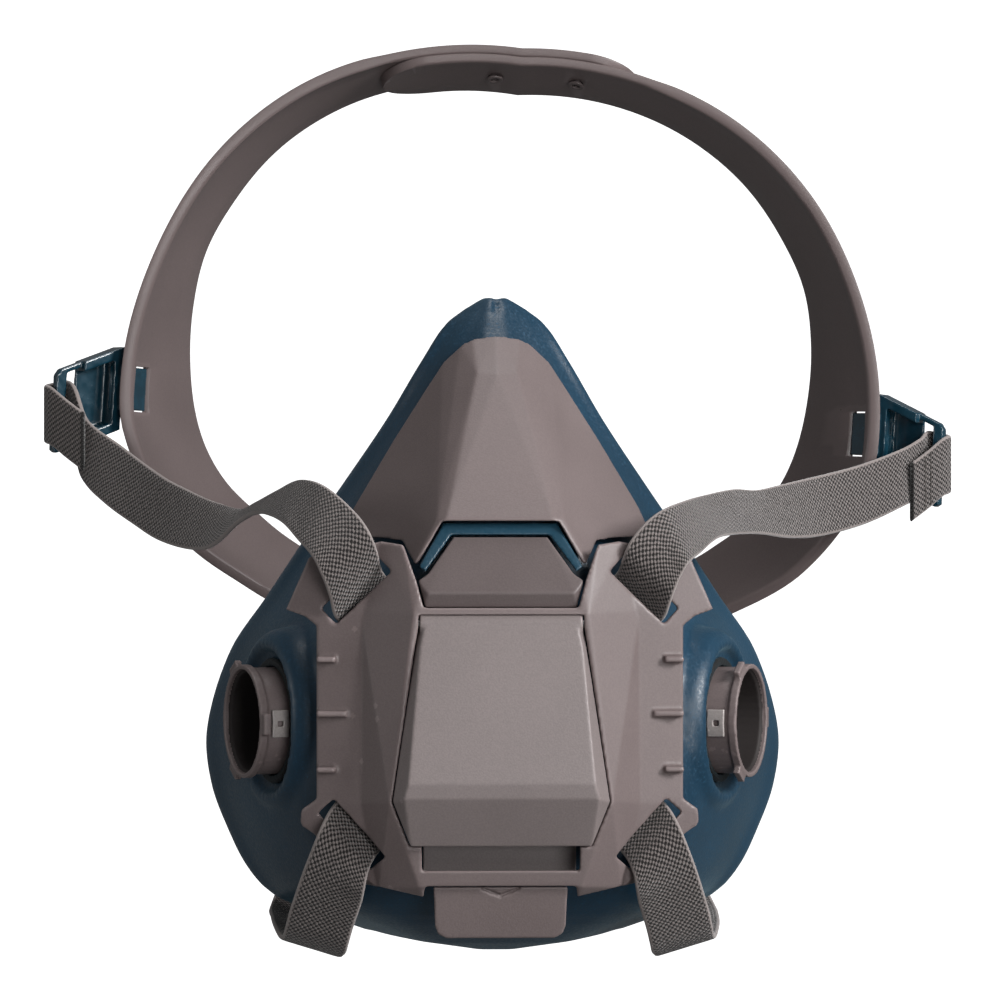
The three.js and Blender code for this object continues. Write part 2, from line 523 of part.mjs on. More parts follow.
function cradlePieces() {
  const holes = BUTTON_ANGLES.map((angle) => place(buttonHole(), crownButton(angle)));
  const band = holes.reduce((sum, hole) => sum.subtract(hole), cradleBand());
  const group = new THREE.Group();
  group.position.set(CRADLE_CENTRE[0], 0, CRADLE_CENTRE[1]);
  group.rotation.y = THREE.MathUtils.degToRad(CRADLE_ROLL);
  group.add(
    node('head_cradle', band, TAUPE),
    ...BUTTON_ANGLES.map((angle, i) => node(`crown_button_${i + 1}`, place(buttonShape(), crownButton(angle)),
      FLAP)),
    node('left_buckle', buckle(-1), DARK_TEAL),
    node('right_buckle', buckle(1), DARK_TEAL),
  );
  return group;
}

// ---------------------------------------------------------------- straps
// A flat strap through [x, y, z, across x, y, z] stations.
function ribbon(stations, steps) {
  const path = new THREE.CatmullRomCurve3(stations.map((s) => vector(s.slice(0, 3))), false, 'centripetal');
  const rings = [];
  for (let i = 0; i <= steps; i++) {
    const t = i / steps;
    const at = t * (stations.length - 1);
    const k = Math.min(Math.floor(at), stations.length - 2);
    const across = vector(stations[k].slice(3)).lerp(vector(stations[k + 1].slice(3)), at - k).normalize();
    const centre = path.getPoint(t);
    const out = path.getTangent(t).cross(across).normalize();
    const corner = (a, b) => centre.clone().addScaledVector(across, a * WEBBING_WIDTH / 2)
      .addScaledVector(out, b * WEBBING_THICKNESS / 2);
    rings.push([corner(-1, -1), corner(1, -1), corner(1, 1), corner(-1, 1)]);
  }
  return loft(rings);
}

// The sewn end: tail in front, round the buckle's outer bar, and back to the main run.
function sewnLoop([x, y, z], along, front, across) {
  const at = (e, f, drop) => [x + e * along[0] + f * front[0], y + e * along[1] + f * front[1],
    z + drop, ...across];
  return [at(12, 2.1, -7.6), at(6, 2.7, -4), at(1, 3, -0.8), at(-2.3, 2.1, 0), at(-3.1, 0, 0.4),
    at(-2.3, -2.1, 0.8), at(1, -2.9, 1.2), at(5, -1.7, -0.9)];
}

const LEFT_UPPER = [
  ...sewnLoop([-116.7, 59.2, 77.8], [0.76, -0.65], [-0.65, -0.76], [0, 0, 1]),
  [-108.6, 52, 68, 0.1, 0.1, 0.98], [-100.5, 43, 61.3, 0.3, 0.1, 0.95], [-92.5, 34, 55.8, 0.26, 0.1, 0.96],
  [-84.5, 24, 51.2, 0.23, 0.2, 0.95], [-73.2, 8, 48, 0.11, 0.62, 0.78], [-64.7, -6, 50.4, 0, 0.98, 0.19],
  [-60, -18, 52.4, -0.05, 0.99, 0.14], [-55, -32, 53.6, 0.08, 0.92, 0.39], [-50, -47, 54, 0.25, 0.69, 0.68],
  [-45, -57.6, 51.1, 0.38, 0.38, 0.84], [-40.4, -64, 46.8, 0.53, 0.3, 0.79],
  [-37.1, -67, 41.9, 0.68, 0.06, 0.72],
  [-35.2, -65.2, 37, 0.72, 0, 0.69], [-34.2, -62, 32.6, 0.72, 0, 0.69], [-32.4, -58.6, 30, 0.72, 0, 0.69],
  [-28.6, -57.4, 26.2, 0.72, 0, 0.69],
];
const RIGHT_UPPER = [
  ...sewnLoop([122.5, 59.2, 64.2], [-0.8, -0.6], [0.6, -0.8], [0, 0, 1]),
  [111.4, 50.4, 60.4, 0, 0.2, 0.98], [99.7, 41, 56, -0.1, 0.1, 0.99], [86.9, 29, 52.9, -0.2, 0.15, 0.97],
  [77, 15, 51.6, -0.1, 0.45, 0.89], [68.2, 0, 51.4, 0, 0.7, 0.72], [60, -18, 51.5, 0.05, 0.69, 0.72],
  [52.6, -36, 50.3, -0.13, 0.72, 0.68], [46.9, -51.6, 48, -0.2, 0.57, 0.8], [42.4, -61.4, 45.9, -0.31, 0.45, 0.83],
  [38.9, -64.6, 42.6, -0.5, 0.2, 0.84], [36.2, -65.8, 38.6, -0.68, 0.05, 0.73], [34.9, -64.4, 35, -0.72, 0, 0.69],
  [34, -61.2, 32, -0.72, 0, 0.69], [32.2, -58.4, 29.8, -0.72, 0, 0.69], [28.6, -57.4, 26.2, -0.72, 0, 0.69],
];
// Right-hand run, from under the wing, down the chin, under the rim and round to the neck clasp.
const LOWER = [
  [30.6, -57.4, -19.6, 0.68, 0, 0.74], [33.6, -58.8, -23.2, 0.68, 0, 0.74], [35.8, -62, -26, 0.68, 0, 0.74],
  [37.4, -64.4, -29.4, 0.72, 0, 0.7], [39, -63.6, -34.4, 0.82, 0, 0.57], [40.8, -60.4, -40, 0.93, 0, 0.36],
  [42.8, -56.4, -46, 0.96, 0.05, 0.27], [44, -53.4, -50.4, 0.96, 0.05, 0.27], [44.8, -49.6, -53.2, 0.96, 0.05, 0.27],
  [46, -44, -54.2, 0.95, 0, 0.3], [48, -30, -53.6, 0.93, 0, 0.36], [49.4, -10, -53.4, 0.93, 0, 0.36],
  [50, 8, -53, 0.93, 0, 0.36], [47, 28, -47, 0.8, 0.2, 0.55], [40, 48, -40, 0.4, 0.4, 0.8],
  [28, 68, -35.4, 0.1, 0.2, 0.98], [21, 74, -33.8, 0, 0.05, 1], [17.4, 75.4, -33.5, 0, 0, 1],
  [14.5, 75.9, -33.5, 0, 0, 1], [13.5, 78, -33.5, 0, 0, 1], [14.5, 80.1, -33.5, 0, 0, 1],
  [17.6, 80.2, -33.6, 0, 0, 1], [22.8, 76.2, -34, 0, 0.05, 1], [27.4, 71.9, -35, 0.05, 0.1, 0.99],
];

// ---------------------------------------------------------------- neck clasp
// Both halves are outlined from above and stand 20 mm tall.
function claspPlan(points, low, high) {
  const shape = new THREE.Shape(points.map(([x, y]) => new THREE.Vector2(x, y)));
  return solid(new THREE.ExtrudeGeometry(shape, { depth: high - low, bevelEnabled: false }).translate(0, 0, low));
}

const arc = (radius, from, to, steps) => Array.from({ length: steps + 1 }, (_, i) => {
  const turn = THREE.MathUtils.degToRad(from + (to - from) * i / steps);
  return [radius * Math.cos(turn), radius * Math.sin(turn)];
});

function claspEye() {
  const plate = block([-17, -1.2, -10], [0, 1.2, 10]);
  const window = block([-4.9, -5, -7], [8, 5, 7]);
  const strapWindow = block([-15.2, -5, -8.4], [-11.8, 5, 8.4]);
  const bar = claspPlan(arc(1.25, 0, 337.5, 15), -8.5, 8.5);
  return plate.subtract(window).subtract(strapWindow).add(bar);
}

function claspHook() {
  const ring = [...arc(3.5, -140, 140, 20), ...arc(1.65, 140, -140, 16)];
  const plate = block([5.6, -1.2, -10], [17, 1.2, 10]).add(block([2.4, -1.2, -5.5], [6, 1.2, 5.5]));
  const strapWindow = block([11.8, -5, -8.4], [15.2, 5, 8.4]);
  return claspPlan(ring, -5.5, 5.5).add(plate).subtract(strapWindow);
}

// ---------------------------------------------------------------- assembly
const respirator = new THREE.Group();
const clasp = new THREE.Group();
clasp.position.set(...CLASP);
clasp.add(node('neck_clasp_eye', claspEye(), DARK_TEAL), node('neck_clasp_hook', claspHook(), DARK_TEAL));
respirator.add(
  node('face_seal', faceSeal(), TEAL),
  node('inner_frame', innerFrame(), LIGHT_TAUPE),
  node('nose_shell', noseShell(), TAUPE),
  node('bridge_gasket', bridgeGasket(), TEAL),
  node('bridge_cover', hull(COVER_HULL).intersect(prism(COVER_OUTLINE, -80, -50)), TAUPE),
  node('yoke', yoke(), TAUPE),
  node('latch_plate', latchPlate(), LIGHT_TAUPE),
  node('latch_pin', cylinderX(PIN_RADIUS, 22.6, HINGE_Y, HINGE_Z, 16), STEEL),
  node('release_tab', releaseTab(), TAUPE),
  portPieces(-1, 'left'),
  portPieces(1, 'right'),
  exhalePieces(),
  cradlePieces(),
  node('left_upper_strap', ribbon(LEFT_UPPER, 56), WEBBING),
  node('right_upper_strap', ribbon(RIGHT_UPPER, 56), WEBBING),
  node('left_lower_strap', ribbon(LOWER.map(([x, y, z, u, v, w]) => [-x, y, z, -u, v, w]), 40), WEBBING),
  node('right_lower_strap', ribbon(LOWER, 40), WEBBING),
  clasp,
);

export default respirator;
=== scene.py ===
"""Finished look of a half-mask respirator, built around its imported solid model.

Lengths in the classes are millimetres, and every mesh is written in metres. +Z is up, -Y is the
way the wearer looks, and X = 0 is the mask's middle plane.
"""

import logging
import math
from dataclasses import dataclass, field
from enum import Enum

import bmesh
import bpy
from mathutils import Matrix, Vector

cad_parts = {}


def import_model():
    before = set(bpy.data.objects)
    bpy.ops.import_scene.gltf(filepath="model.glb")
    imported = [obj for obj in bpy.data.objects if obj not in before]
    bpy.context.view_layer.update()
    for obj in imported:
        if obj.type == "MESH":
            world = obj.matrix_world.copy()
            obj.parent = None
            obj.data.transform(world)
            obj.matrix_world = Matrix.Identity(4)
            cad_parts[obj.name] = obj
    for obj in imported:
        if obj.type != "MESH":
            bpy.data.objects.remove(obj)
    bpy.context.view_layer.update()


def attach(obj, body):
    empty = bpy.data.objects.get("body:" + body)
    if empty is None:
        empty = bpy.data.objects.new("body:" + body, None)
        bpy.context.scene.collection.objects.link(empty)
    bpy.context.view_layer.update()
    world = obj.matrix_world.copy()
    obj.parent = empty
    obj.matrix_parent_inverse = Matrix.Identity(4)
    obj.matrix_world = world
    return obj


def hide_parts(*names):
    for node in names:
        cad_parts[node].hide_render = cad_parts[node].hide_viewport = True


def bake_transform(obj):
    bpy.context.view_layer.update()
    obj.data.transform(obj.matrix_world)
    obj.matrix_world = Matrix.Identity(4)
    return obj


MM = 0.001
LOG = logging.getLogger("respirator")
Row = tuple[float, ...]


class Side(Enum):
    """Which side of the mask a piece is on; the value is the sign of its X."""

    LEFT = -1
    RIGHT = 1


# ---------------------------------------------------------------- finishes
class Graph:
    """A material's nodes, written one call at a time."""

    def __init__(self, name: str) -> None:
        """Starts a material that holds a single shader."""
        self.material = bpy.data.materials.new(name)
        self.material.use_nodes = True
        self.tree = self.material.node_tree
        self.shader = self.tree.nodes["Principled BSDF"]

    def add(self, kind: str, **settings: object) -> bpy.types.Node:
        """Adds a node.

        Args:
            kind: the node's type, without its "ShaderNode" start.
            settings: the node's own properties.

        Returns:
            The new node.
        """
        node = self.tree.nodes.new("ShaderNode" + kind)
        for key, value in settings.items():
            setattr(node, key, value)
        return node

    def link(self, source: bpy.types.NodeSocket, target: bpy.types.NodeSocket) -> None:
        """Joins two sockets."""
        self.tree.links.new(source, target)

    def feed(self, node: bpy.types.Node, key: int | str, value: object) -> None:
        """Gives an input a socket to read, or a plain value."""
        if isinstance(value, bpy.types.NodeSocket):
            self.link(value, node.inputs[key])
        else:
            node.inputs[key].default_value = value

    def place(self, kind: str = "Object") -> bpy.types.NodeSocket:
        """The piece's own coordinates."""
        return self.add("TexCoord").outputs[kind]

    def noise(self, scale: float, detail: float = 3.0, place: bpy.types.NodeSocket | None = None) -> bpy.types.NodeSocket:
        """Noise of a given scale per metre.

        Args:
            scale: how many lumps there are in a metre.
            detail: how fine the noise goes.
            place: the coordinates that it reads.

        Returns:
            The noise, from 0 to 1.
        """
        node = self.add("TexNoise")
        self.link(place or self.place(), node.inputs["Vector"])
        node.inputs["Scale"].default_value = scale
        node.inputs["Detail"].default_value = detail
        return node.outputs["Fac"]

    def math(self, operation: str, a: object, b: object = 0.0, clamp: bool = False) -> bpy.types.NodeSocket:
        """Works out one sum on two values or sockets."""
        node = self.add("Math", operation=operation, use_clamp=clamp)
        self.feed(node, 0, a)
        self.feed(node, 1, b)
        return node.outputs[0]

    def spread(self, value: bpy.types.NodeSocket, low: float, high: float, out_low: float, out_high: float) -> bpy.types.NodeSocket:
        """Maps a range of values onto another, held at its ends."""
        node = self.add("MapRange")
        for key, number in zip(range(5), (value, low, high, out_low, out_high)):
            self.feed(node, key, number)
        return node.outputs[0]

    def mix(self, share: object, a: object, b: object) -> bpy.types.NodeSocket:
        """Mixes two colours by a share."""
        node = self.add("Mix", data_type="RGBA")
        self.feed(node, 0, share)
        self.feed(node, 6, a)
        self.feed(node, 7, b)
        return node.outputs[2]

    def bump(self, height: bpy.types.NodeSocket, strength: float, distance: float, under: bpy.types.NodeSocket | None = None) -> bpy.types.NodeSocket:
        """Turns a height into a normal.

        Args:
            height: the height, from 0 to 1.
            strength: how far it counts.
            distance: the height of a full step, in metres.
            under: another normal that it adds to.

        Returns:
            The normal.
        """
        node = self.add("Bump")
        node.inputs["Strength"].default_value = strength
        node.inputs["Distance"].default_value = distance
        self.link(height, node.inputs["Height"])
        if under is not None:
            self.link(under, node.inputs["Normal"])
        return node.outputs["Normal"]

    def edges(self, low: float, high: float) -> bpy.types.NodeSocket:
        """How far a spot is an outward edge, from 0 in a corner to 1 on a sharp outward edge."""
        return self.spread(self.add("NewGeometry").outputs["Pointiness"], low, high, 0.0, 1.0)


def tint(colour: Row, by: float) -> Row:
    """A linear colour made lighter or darker, with its alpha."""
    return (*(min(1.0, c * by) for c in colour[:3]), 1.0)


@dataclass(frozen=True)
class MouldedPlastic:
    """Hard plastic with a spark-eroded grain, and edges polished by handling and painted lighter, partly as wear and
    partly as a painted highlight.
    """

    name: str
    slot: str
    colour: Row
    roughness: float = 0.5
    grain: float = 0.25
    # How much lighter the edges are painted: partly wear, partly a painted highlight where light catches them.
    edge_wear_and_highlight_gain: float = 1.35

    def build(self) -> bpy.types.Material:
        """Writes the material's nodes.

        Returns:
            The material.
        """
        graph = Graph(self.name)
        shader = graph.shader
        fine = graph.noise(2300, 2)
        broad = graph.noise(45, 4)
        tone = graph.mix(graph.spread(broad, 0.3, 0.7, 0, 1), tint(self.colour, 0.9), tint(self.colour, 1.1))
        speck = graph.mix(graph.spread(fine, 0.35, 0.65, 0, 1), tint(self.colour, 0.86), tint(self.colour, 1.12))
        base = graph.mix(0.5, tone, speck)
        # Painted highlight: outward edges are lightened, partly as wear and partly as light catching the rounded edges.
        # They are also made smoother.
        edge_wear_and_highlight = graph.edges(0.505, 0.56)
        graph.link(graph.mix(edge_wear_and_highlight, base, tint(self.colour, self.edge_wear_and_highlight_gain)), shader.inputs["Base Color"])
        rough = graph.spread(broad, 0.3, 0.7, self.roughness - 0.06, self.roughness + 0.06)
        graph.link(graph.math("SUBTRACT", rough, graph.math("MULTIPLY", edge_wear_and_highlight, 0.12)), shader.inputs["Roughness"])
        graph.link(graph.bump(fine, self.grain, 0.00012), shader.inputs["Normal"])
        shader.inputs["Specular IOR Level"].default_value = 0.45
        return graph.material


@dataclass(frozen=True)
class Silicone:
    """Soft silicone with a velvety surface and tiny lighter specks, partly its grain and partly painted glints of its
    sheen.
    """

    name: str
    slot: str
    colour: Row
    roughness: float = 0.42
    speck: float = 1.9

    def build(self) -> bpy.types.Material:
        """Writes the material's nodes.

        Returns:
            The material.
        """
        graph = Graph(self.name)
        shader = graph.shader
        fine = graph.noise(1500, 3)
        broad = graph.noise(28, 3)
        tone = graph.mix(graph.spread(broad, 0.3, 0.7, 0, 1), tint(self.colour, 0.8), tint(self.colour, 1.2))
        # Painted highlight: the lighter specks are partly the silicone's grain and partly glints of its speckled sheen.
        speck_grain_and_glint = graph.spread(fine, 0.56, 0.74, 0, 0.7)
        graph.link(graph.mix(speck_grain_and_glint, tone, tint(self.colour, self.speck)), shader.inputs["Base Color"])
        graph.link(graph.spread(fine, 0.3, 0.7, self.roughness - 0.1, self.roughness + 0.12), shader.inputs["Roughness"])
        graph.link(graph.bump(fine, 0.3, 0.00015), shader.inputs["Normal"])
        shader.inputs["Specular IOR Level"].default_value = 0.5
        shader.inputs["Sheen Weight"].default_value = 0.12
        shader.inputs["Sheen Roughness"].default_value = 0.4
        shader.inputs["Sheen Tint"].default_value = (0.45, 0.75, 0.9, 1)
        return graph.material


@dataclass(frozen=True)
class GlossPlastic:
    """Polished dark plastic, faintly scuffed."""

    name: str
    slot: str
    colour: Row
    roughness: float = 0.16

    def build(self) -> bpy.types.Material:
        """Writes the material's nodes.

        Returns:
            The material.
        """
        graph = Graph(self.name)
        shader = graph.shader
        scuff = graph.noise(300, 5)
        graph.link(graph.mix(graph.spread(scuff, 0.35, 0.65, 0, 1), tint(self.colour, 0.85), tint(self.colour, 1.25)), shader.inputs["Base Color"])
        graph.link(graph.spread(scuff, 0.3, 0.75, self.roughness, self.roughness + 0.16), shader.inputs["Roughness"])
        graph.link(graph.bump(scuff, 0.05, 0.0002), shader.inputs["Normal"])
        shader.inputs["Coat Weight"].default_value = 0.4
        shader.inputs["Coat Roughness"].default_value = 0.1
        return graph.material


@dataclass(frozen=True)
class Webbing:
    """Coarse plain-woven elastic: light yarns that cross over dark ones, with a smooth selvedge."""

    name: str
    slot: str
    light: Row
    dark: Row
    pitch: float = 0.66

    def build(self) -> bpy.types.Material:
        """Writes the material's nodes. The UV map runs across and along the strap, in millimetres.

        Returns:
            The material.
        """
        graph = Graph(self.name)
        shader = graph.shader
        split = graph.add("SeparateXYZ")
        graph.link(graph.place("UV"), split.inputs[0])
        across, along = split.outputs[0], split.outputs[1]
        turn = math.pi / self.pitch
        wobble = graph.math("MULTIPLY", graph.noise(700, 3), 0.55)
        u = graph.math("SINE", graph.math("MULTIPLY", graph.math("ADD", across, wobble), turn))
        v = graph.math("SINE", graph.math("MULTIPLY", graph.math("SUBTRACT", along, wobble), turn))
        over = graph.spread(graph.math("MULTIPLY", u, v), -0.35, 0.55, 0, 1)
        edge = graph.spread(graph.math("ABSOLUTE", across), 7.1, 7.5, 0, 1)
        height = graph.math("MAXIMUM", over, edge)
        yarn = graph.mix(graph.noise(1400, 2), tint(self.light, 0.7), tint(self.light, 1.3))
        selvedge = graph.mix(edge, yarn, tint(self.light, 1.25))
        cloth = graph.mix(height, tint(self.dark, 1), selvedge)
        cut = graph.spread(along, 0.3, 0.9, 1, 0)
        graph.link(graph.mix(cut, cloth, tint(self.dark, 0.6)), shader.inputs["Base Color"])
        shader.inputs["Roughness"].default_value = 0.85
        shader.inputs["Sheen Weight"].default_value = 0.3
        shader.inputs["Specular IOR Level"].default_value = 0.25
        graph.link(graph.bump(height, 0.8, 0.00035), shader.inputs["Normal"])
        return graph.material


@dataclass(frozen=True)
class Steel:
    """Ground steel rod."""

    name: str
    slot: str
    colour: Row

    def build(self) -> bpy.types.Material:
        """Writes the material's nodes.

        Returns:
            The material.
        """
        graph = Graph(self.name)
        grind = graph.noise(4000, 2)
        graph.link(graph.mix(grind, tint(self.colour, 0.8), tint(self.colour, 1.1)), graph.shader.inputs["Base Color"])
        graph.link(graph.spread(grind, 0, 1, 0.25, 0.4), graph.shader.inputs["Roughness"])
        graph.shader.inputs["Metallic"].default_value = 1
        return graph.material


Finish = MouldedPlastic | Silicone | GlossPlastic | Webbing | Steel

SILICONE = Silicone("teal silicone", "silicone", (0.005, 0.031, 0.06))
GASKET_TEAL = Silicone("gasket silicone", "silicone", (0.008, 0.042, 0.07), 0.38, 1.4)
TAUPE = MouldedPlastic("taupe plastic", "hard_taupe", (0.15, 0.119, 0.117))
# Painted shade: the bridge cover's taupe is darkened to stand in for the shade on its slope.
TAUPE_PAINTED_SHADE = MouldedPlastic("shaded taupe plastic", "hard_taupe", (0.098, 0.077, 0.076))
# Painted shade: a near-black taupe laid inside the port bores, where shade falls.
BORE_PAINTED_SHADE = MouldedPlastic("bore plastic with painted shade", "hard_taupe", (0.02, 0.0155, 0.015), 0.75, 0.1, 1.0)
PANEL = MouldedPlastic("light taupe plastic", "panel_taupe", (0.19, 0.16, 0.157), 0.47)
CRADLE = MouldedPlastic("cradle plastic", "cradle_taupe", (0.13, 0.102, 0.1), 0.45, 0.1, 1.15)
CATCH = MouldedPlastic("catch plastic", "catch", (0.3, 0.27, 0.26), 0.35)
BUTTON = MouldedPlastic("button plastic", "dark_plastic", (0.11, 0.088, 0.086), 0.5, 0.1, 1.1)
CLIP = GlossPlastic("clip plastic", "teal_clips", (0.004, 0.032, 0.052))
FLAP = Silicone("valve silicone", "flap", (0.035, 0.03, 0.028), 0.5, 1.3)
# Painted shade: the port gaskets are made near black so that the recess round each port reads as shade.
RECESS_SHADE_RUBBER = Silicone("black rubber", "flap", (0.0035, 0.0035, 0.0035), 0.7, 1.2)
WEBBING = Webbing("woven elastic", "webbing", (0.185, 0.16, 0.153), (0.01, 0.0085, 0.008))
THREAD = MouldedPlastic("sewing thread", "webbing", (0.04, 0.035, 0.032), 0.8)
PIN_STEEL = Steel("pin steel", "pin_steel", (0.6, 0.6, 0.62))


# ---------------------------------------------------------------- workshop
@dataclass(frozen=True)
class Table:
    """A smooth curve through pairs of position and value, level past its ends."""

    pairs: tuple[tuple[float, float], ...]

    def slope(self, i: int) -> float:
        """The curve's slope at one of its pairs."""
        a, b = self.pairs[max(i - 1, 0)], self.pairs[min(i + 1, len(self.pairs) - 1)]
        return (b[1] - a[1]) / (b[0] - a[0])

    def at(self, position: float) -> float:
        """The curve's value at a position."""
        pairs = self.pairs
        p = min(max(position, pairs[0][0]), pairs[-1][0])
        i = max(k for k in range(len(pairs) - 1) if pairs[k][0] <= p or k == 0)
        (x0, y0), (x1, y1) = pairs[i], pairs[i + 1]
        h, t = x1 - x0, (p - x0) / (x1 - x0)
        rise = (t**3 - 2 * t**2 + t) * self.slope(i) + (t**3 - t**2) * self.slope(i + 1)
        return (2 * t**3 - 3 * t**2 + 1) * y0 + (3 * t**2 - 2 * t**3) * y1 + h * rise


def spline(points: list[Vector], steps: int) -> list[Vector]:
    """A smooth line through points.

    Args:
        points: the points, of any number of dimensions.
        steps: how many steps there are between two points.

    Returns:
        The finer line.
    """
    line = []
    for i in range(len(points) - 1):
        a, b = points[max(i - 1, 0)], points[i]
        c, d = points[i + 1], points[min(i + 2, len(points) - 1)]
        for k in range(steps):
            t = k / steps
            pull, push = (c - a) / 2, (d - b) / 2
            near, far = 2 * t**3 - 3 * t**2 + 1, 3 * t**2 - 2 * t**3
            line.append(b * near + c * far + pull * (t**3 - 2 * t**2 + t) + push * (t**3 - t**2))
    return [*line, points[-1].copy()]


def mesh_object(name: str, points: list[Vector], faces: list[tuple[int, ...]]) -> bpy.types.Object:
    """Makes an object from points in millimetres, with its faces turned outwards.

    Args:
        name: the object's name.
        points: the points.
        faces: the faces, by point number.

    Returns:
        The object, at the origin.
    """
    mesh = bpy.data.meshes.new(name)
    mesh.from_pydata([p * MM for p in points], [], faces)
    shell = bmesh.new()
    shell.from_mesh(mesh)
    bmesh.ops.recalc_face_normals(shell, faces=shell.faces)
    shell.to_mesh(mesh)
    shell.free()
    made = bpy.data.objects.new(name, mesh)
    bpy.context.scene.collection.objects.link(made)
    return made


def loft(name: str, rings: list[list[Vector]], capped: bool = True) -> bpy.types.Object:
    """Skins a row of rings.

    Args:
        name: the object's name.
        rings: rings of points, each with the same number.
        capped: whether the ends are closed; a ring road of rings is joined end to end instead.

    Returns:
        The closed object.
    """
    count = len(rings[0])
    points = [p for ring in rings for p in ring]
    rows = len(rings) if not capped else len(rings) - 1
    faces = []
    for r in range(rows):
        below, above = r * count, (r + 1) % len(rings) * count
        faces += [(below + i, below + (i + 1) % count, above + (i + 1) % count, above + i) for i in range(count)]
    if capped:
        for start in (0, (len(rings) - 1) * count):
            points.append(sum((points[start + i] for i in range(count)), Vector()) / count)
            hub = len(points) - 1
            faces += [(hub, start + i, start + (i + 1) % count) for i in range(count)]
    return mesh_object(name, points, faces)


def turned(name: str, profile: list[Row], place: Matrix, segments: int = 96) -> bpy.types.Object:
    """Turns a profile about the +Y axis of a place.

    Args:
        name: the object's name.
        profile: radius and height pairs, from the axis back to the axis.
        place: where the turned piece goes, in millimetres.
        segments: how many steps there are round it.

    Returns:
        The closed object.
    """
    rings = []
    for radius, height in profile:
        turns = [2 * math.pi * i / segments for i in range(segments)]
        rings.append([place @ Vector((radius * math.sin(a), height, radius * math.cos(a))) for a in turns])
    return loft(name, rings)


def bar(name: str, low: Row, high: Row, place: Matrix | None = None) -> bpy.types.Object:
    """A plain block, for joining to a shape or cutting it."""
    corners = [Vector((x, y, z)) for z in (low[2], high[2]) for y in (low[1], high[1]) for x in (low[0], high[0])]
    faces = [(0, 1, 3, 2), (4, 5, 7, 6), (0, 1, 5, 4), (2, 3, 7, 6), (0, 2, 6, 4), (1, 3, 7, 5)]
    return mesh_object(name, [place @ c if place else c for c in corners], faces)


def plain(item: bpy.types.Object) -> bpy.types.Object:
    """Works an object's modifiers into its mesh.

    Args:
        item: the object.

    Returns:
        The same object, with a plain mesh.
    """
    shaped = item.evaluated_get(bpy.context.evaluated_depsgraph_get())
    mesh = bpy.data.meshes.new_from_object(shaped, preserve_all_data_layers=True, depsgraph=bpy.context.evaluated_depsgraph_get())
    item.modifiers.clear()
    item.data = mesh
    return item


def combine(body: bpy.types.Object, other: bpy.types.Object, operation: str) -> bpy.types.Object:
    """Joins another solid to a body or cuts it away, and drops it.

    Args:
        body: the solid that is kept.
        other: the solid that is used up.
        operation: UNION, DIFFERENCE or INTERSECT.

    Returns:
        The body.
    """
    cut = body.modifiers.new("cut", "BOOLEAN")
    cut.operation = operation
    cut.solver = "MANIFOLD"
    cut.object = other
    plain(body)
    bpy.data.objects.remove(other)
    return body


def moulded(item: bpy.types.Object, voxel: float, smoothing: int, swell: float = 0.0) -> bpy.types.Object:
    """Gives a solid a fine even skin and rounds its edges.

    Args:
        item: the solid.
        voxel: the skin's spacing.
        smoothing: how many passes round the edges.
        swell: how far the skin is then moved out, to keep a parting line thin.

    Returns:
        The same object.
    """
    skin = item.modifiers.new("skin", "REMESH")
    skin.mode = "VOXEL"
    skin.voxel_size = voxel * MM
    skin.use_smooth_shade = True
    if smoothing:
        soften = item.modifiers.new("soften", "SMOOTH")
        soften.iterations = smoothing
        soften.factor = 0.5
    if swell:
        grow = item.modifiers.new("swell", "DISPLACE")
        grow.strength = swell * MM
        grow.mid_level = 0.0
    return plain(item)


def dress(item: bpy.types.Object, finish: Finish, body: str | None, *nodes: str) -> bpy.types.Object:
    """Gives a piece its finish, smooth shading and place in the moving parts.

    Args:
        item: the piece.
        finish: its finish.
        body: the moving body that it rides on, if it doesn't bend.
        nodes: the solid model's nodes that it stands for.

    Returns:
        The piece.
    """
    material = bpy.data.materials.get(finish.name) or finish.build()
    item.data.materials.clear()
    item.data.materials.append(material)
    item.data.shade_smooth()
    if body:
        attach(item, body)
    if nodes:
        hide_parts(*nodes)
    LOG.info("%s: %d faces", item.name, len(item.data.polygons))
    return item


def copy_of(node: str, name: str) -> bpy.types.Object:
    """A merged copy of one of the solid model's nodes."""
    mesh = bpy.data.objects[node].data.copy()
    shell = bmesh.new()
    shell.from_mesh(mesh)
    bmesh.ops.remove_doubles(shell, verts=shell.verts, dist=1e-6)
    shell.to_mesh(mesh)
    shell.free()
    made = bpy.data.objects.new(name, mesh)
    bpy.context.scene.collection.objects.link(made)
    return made


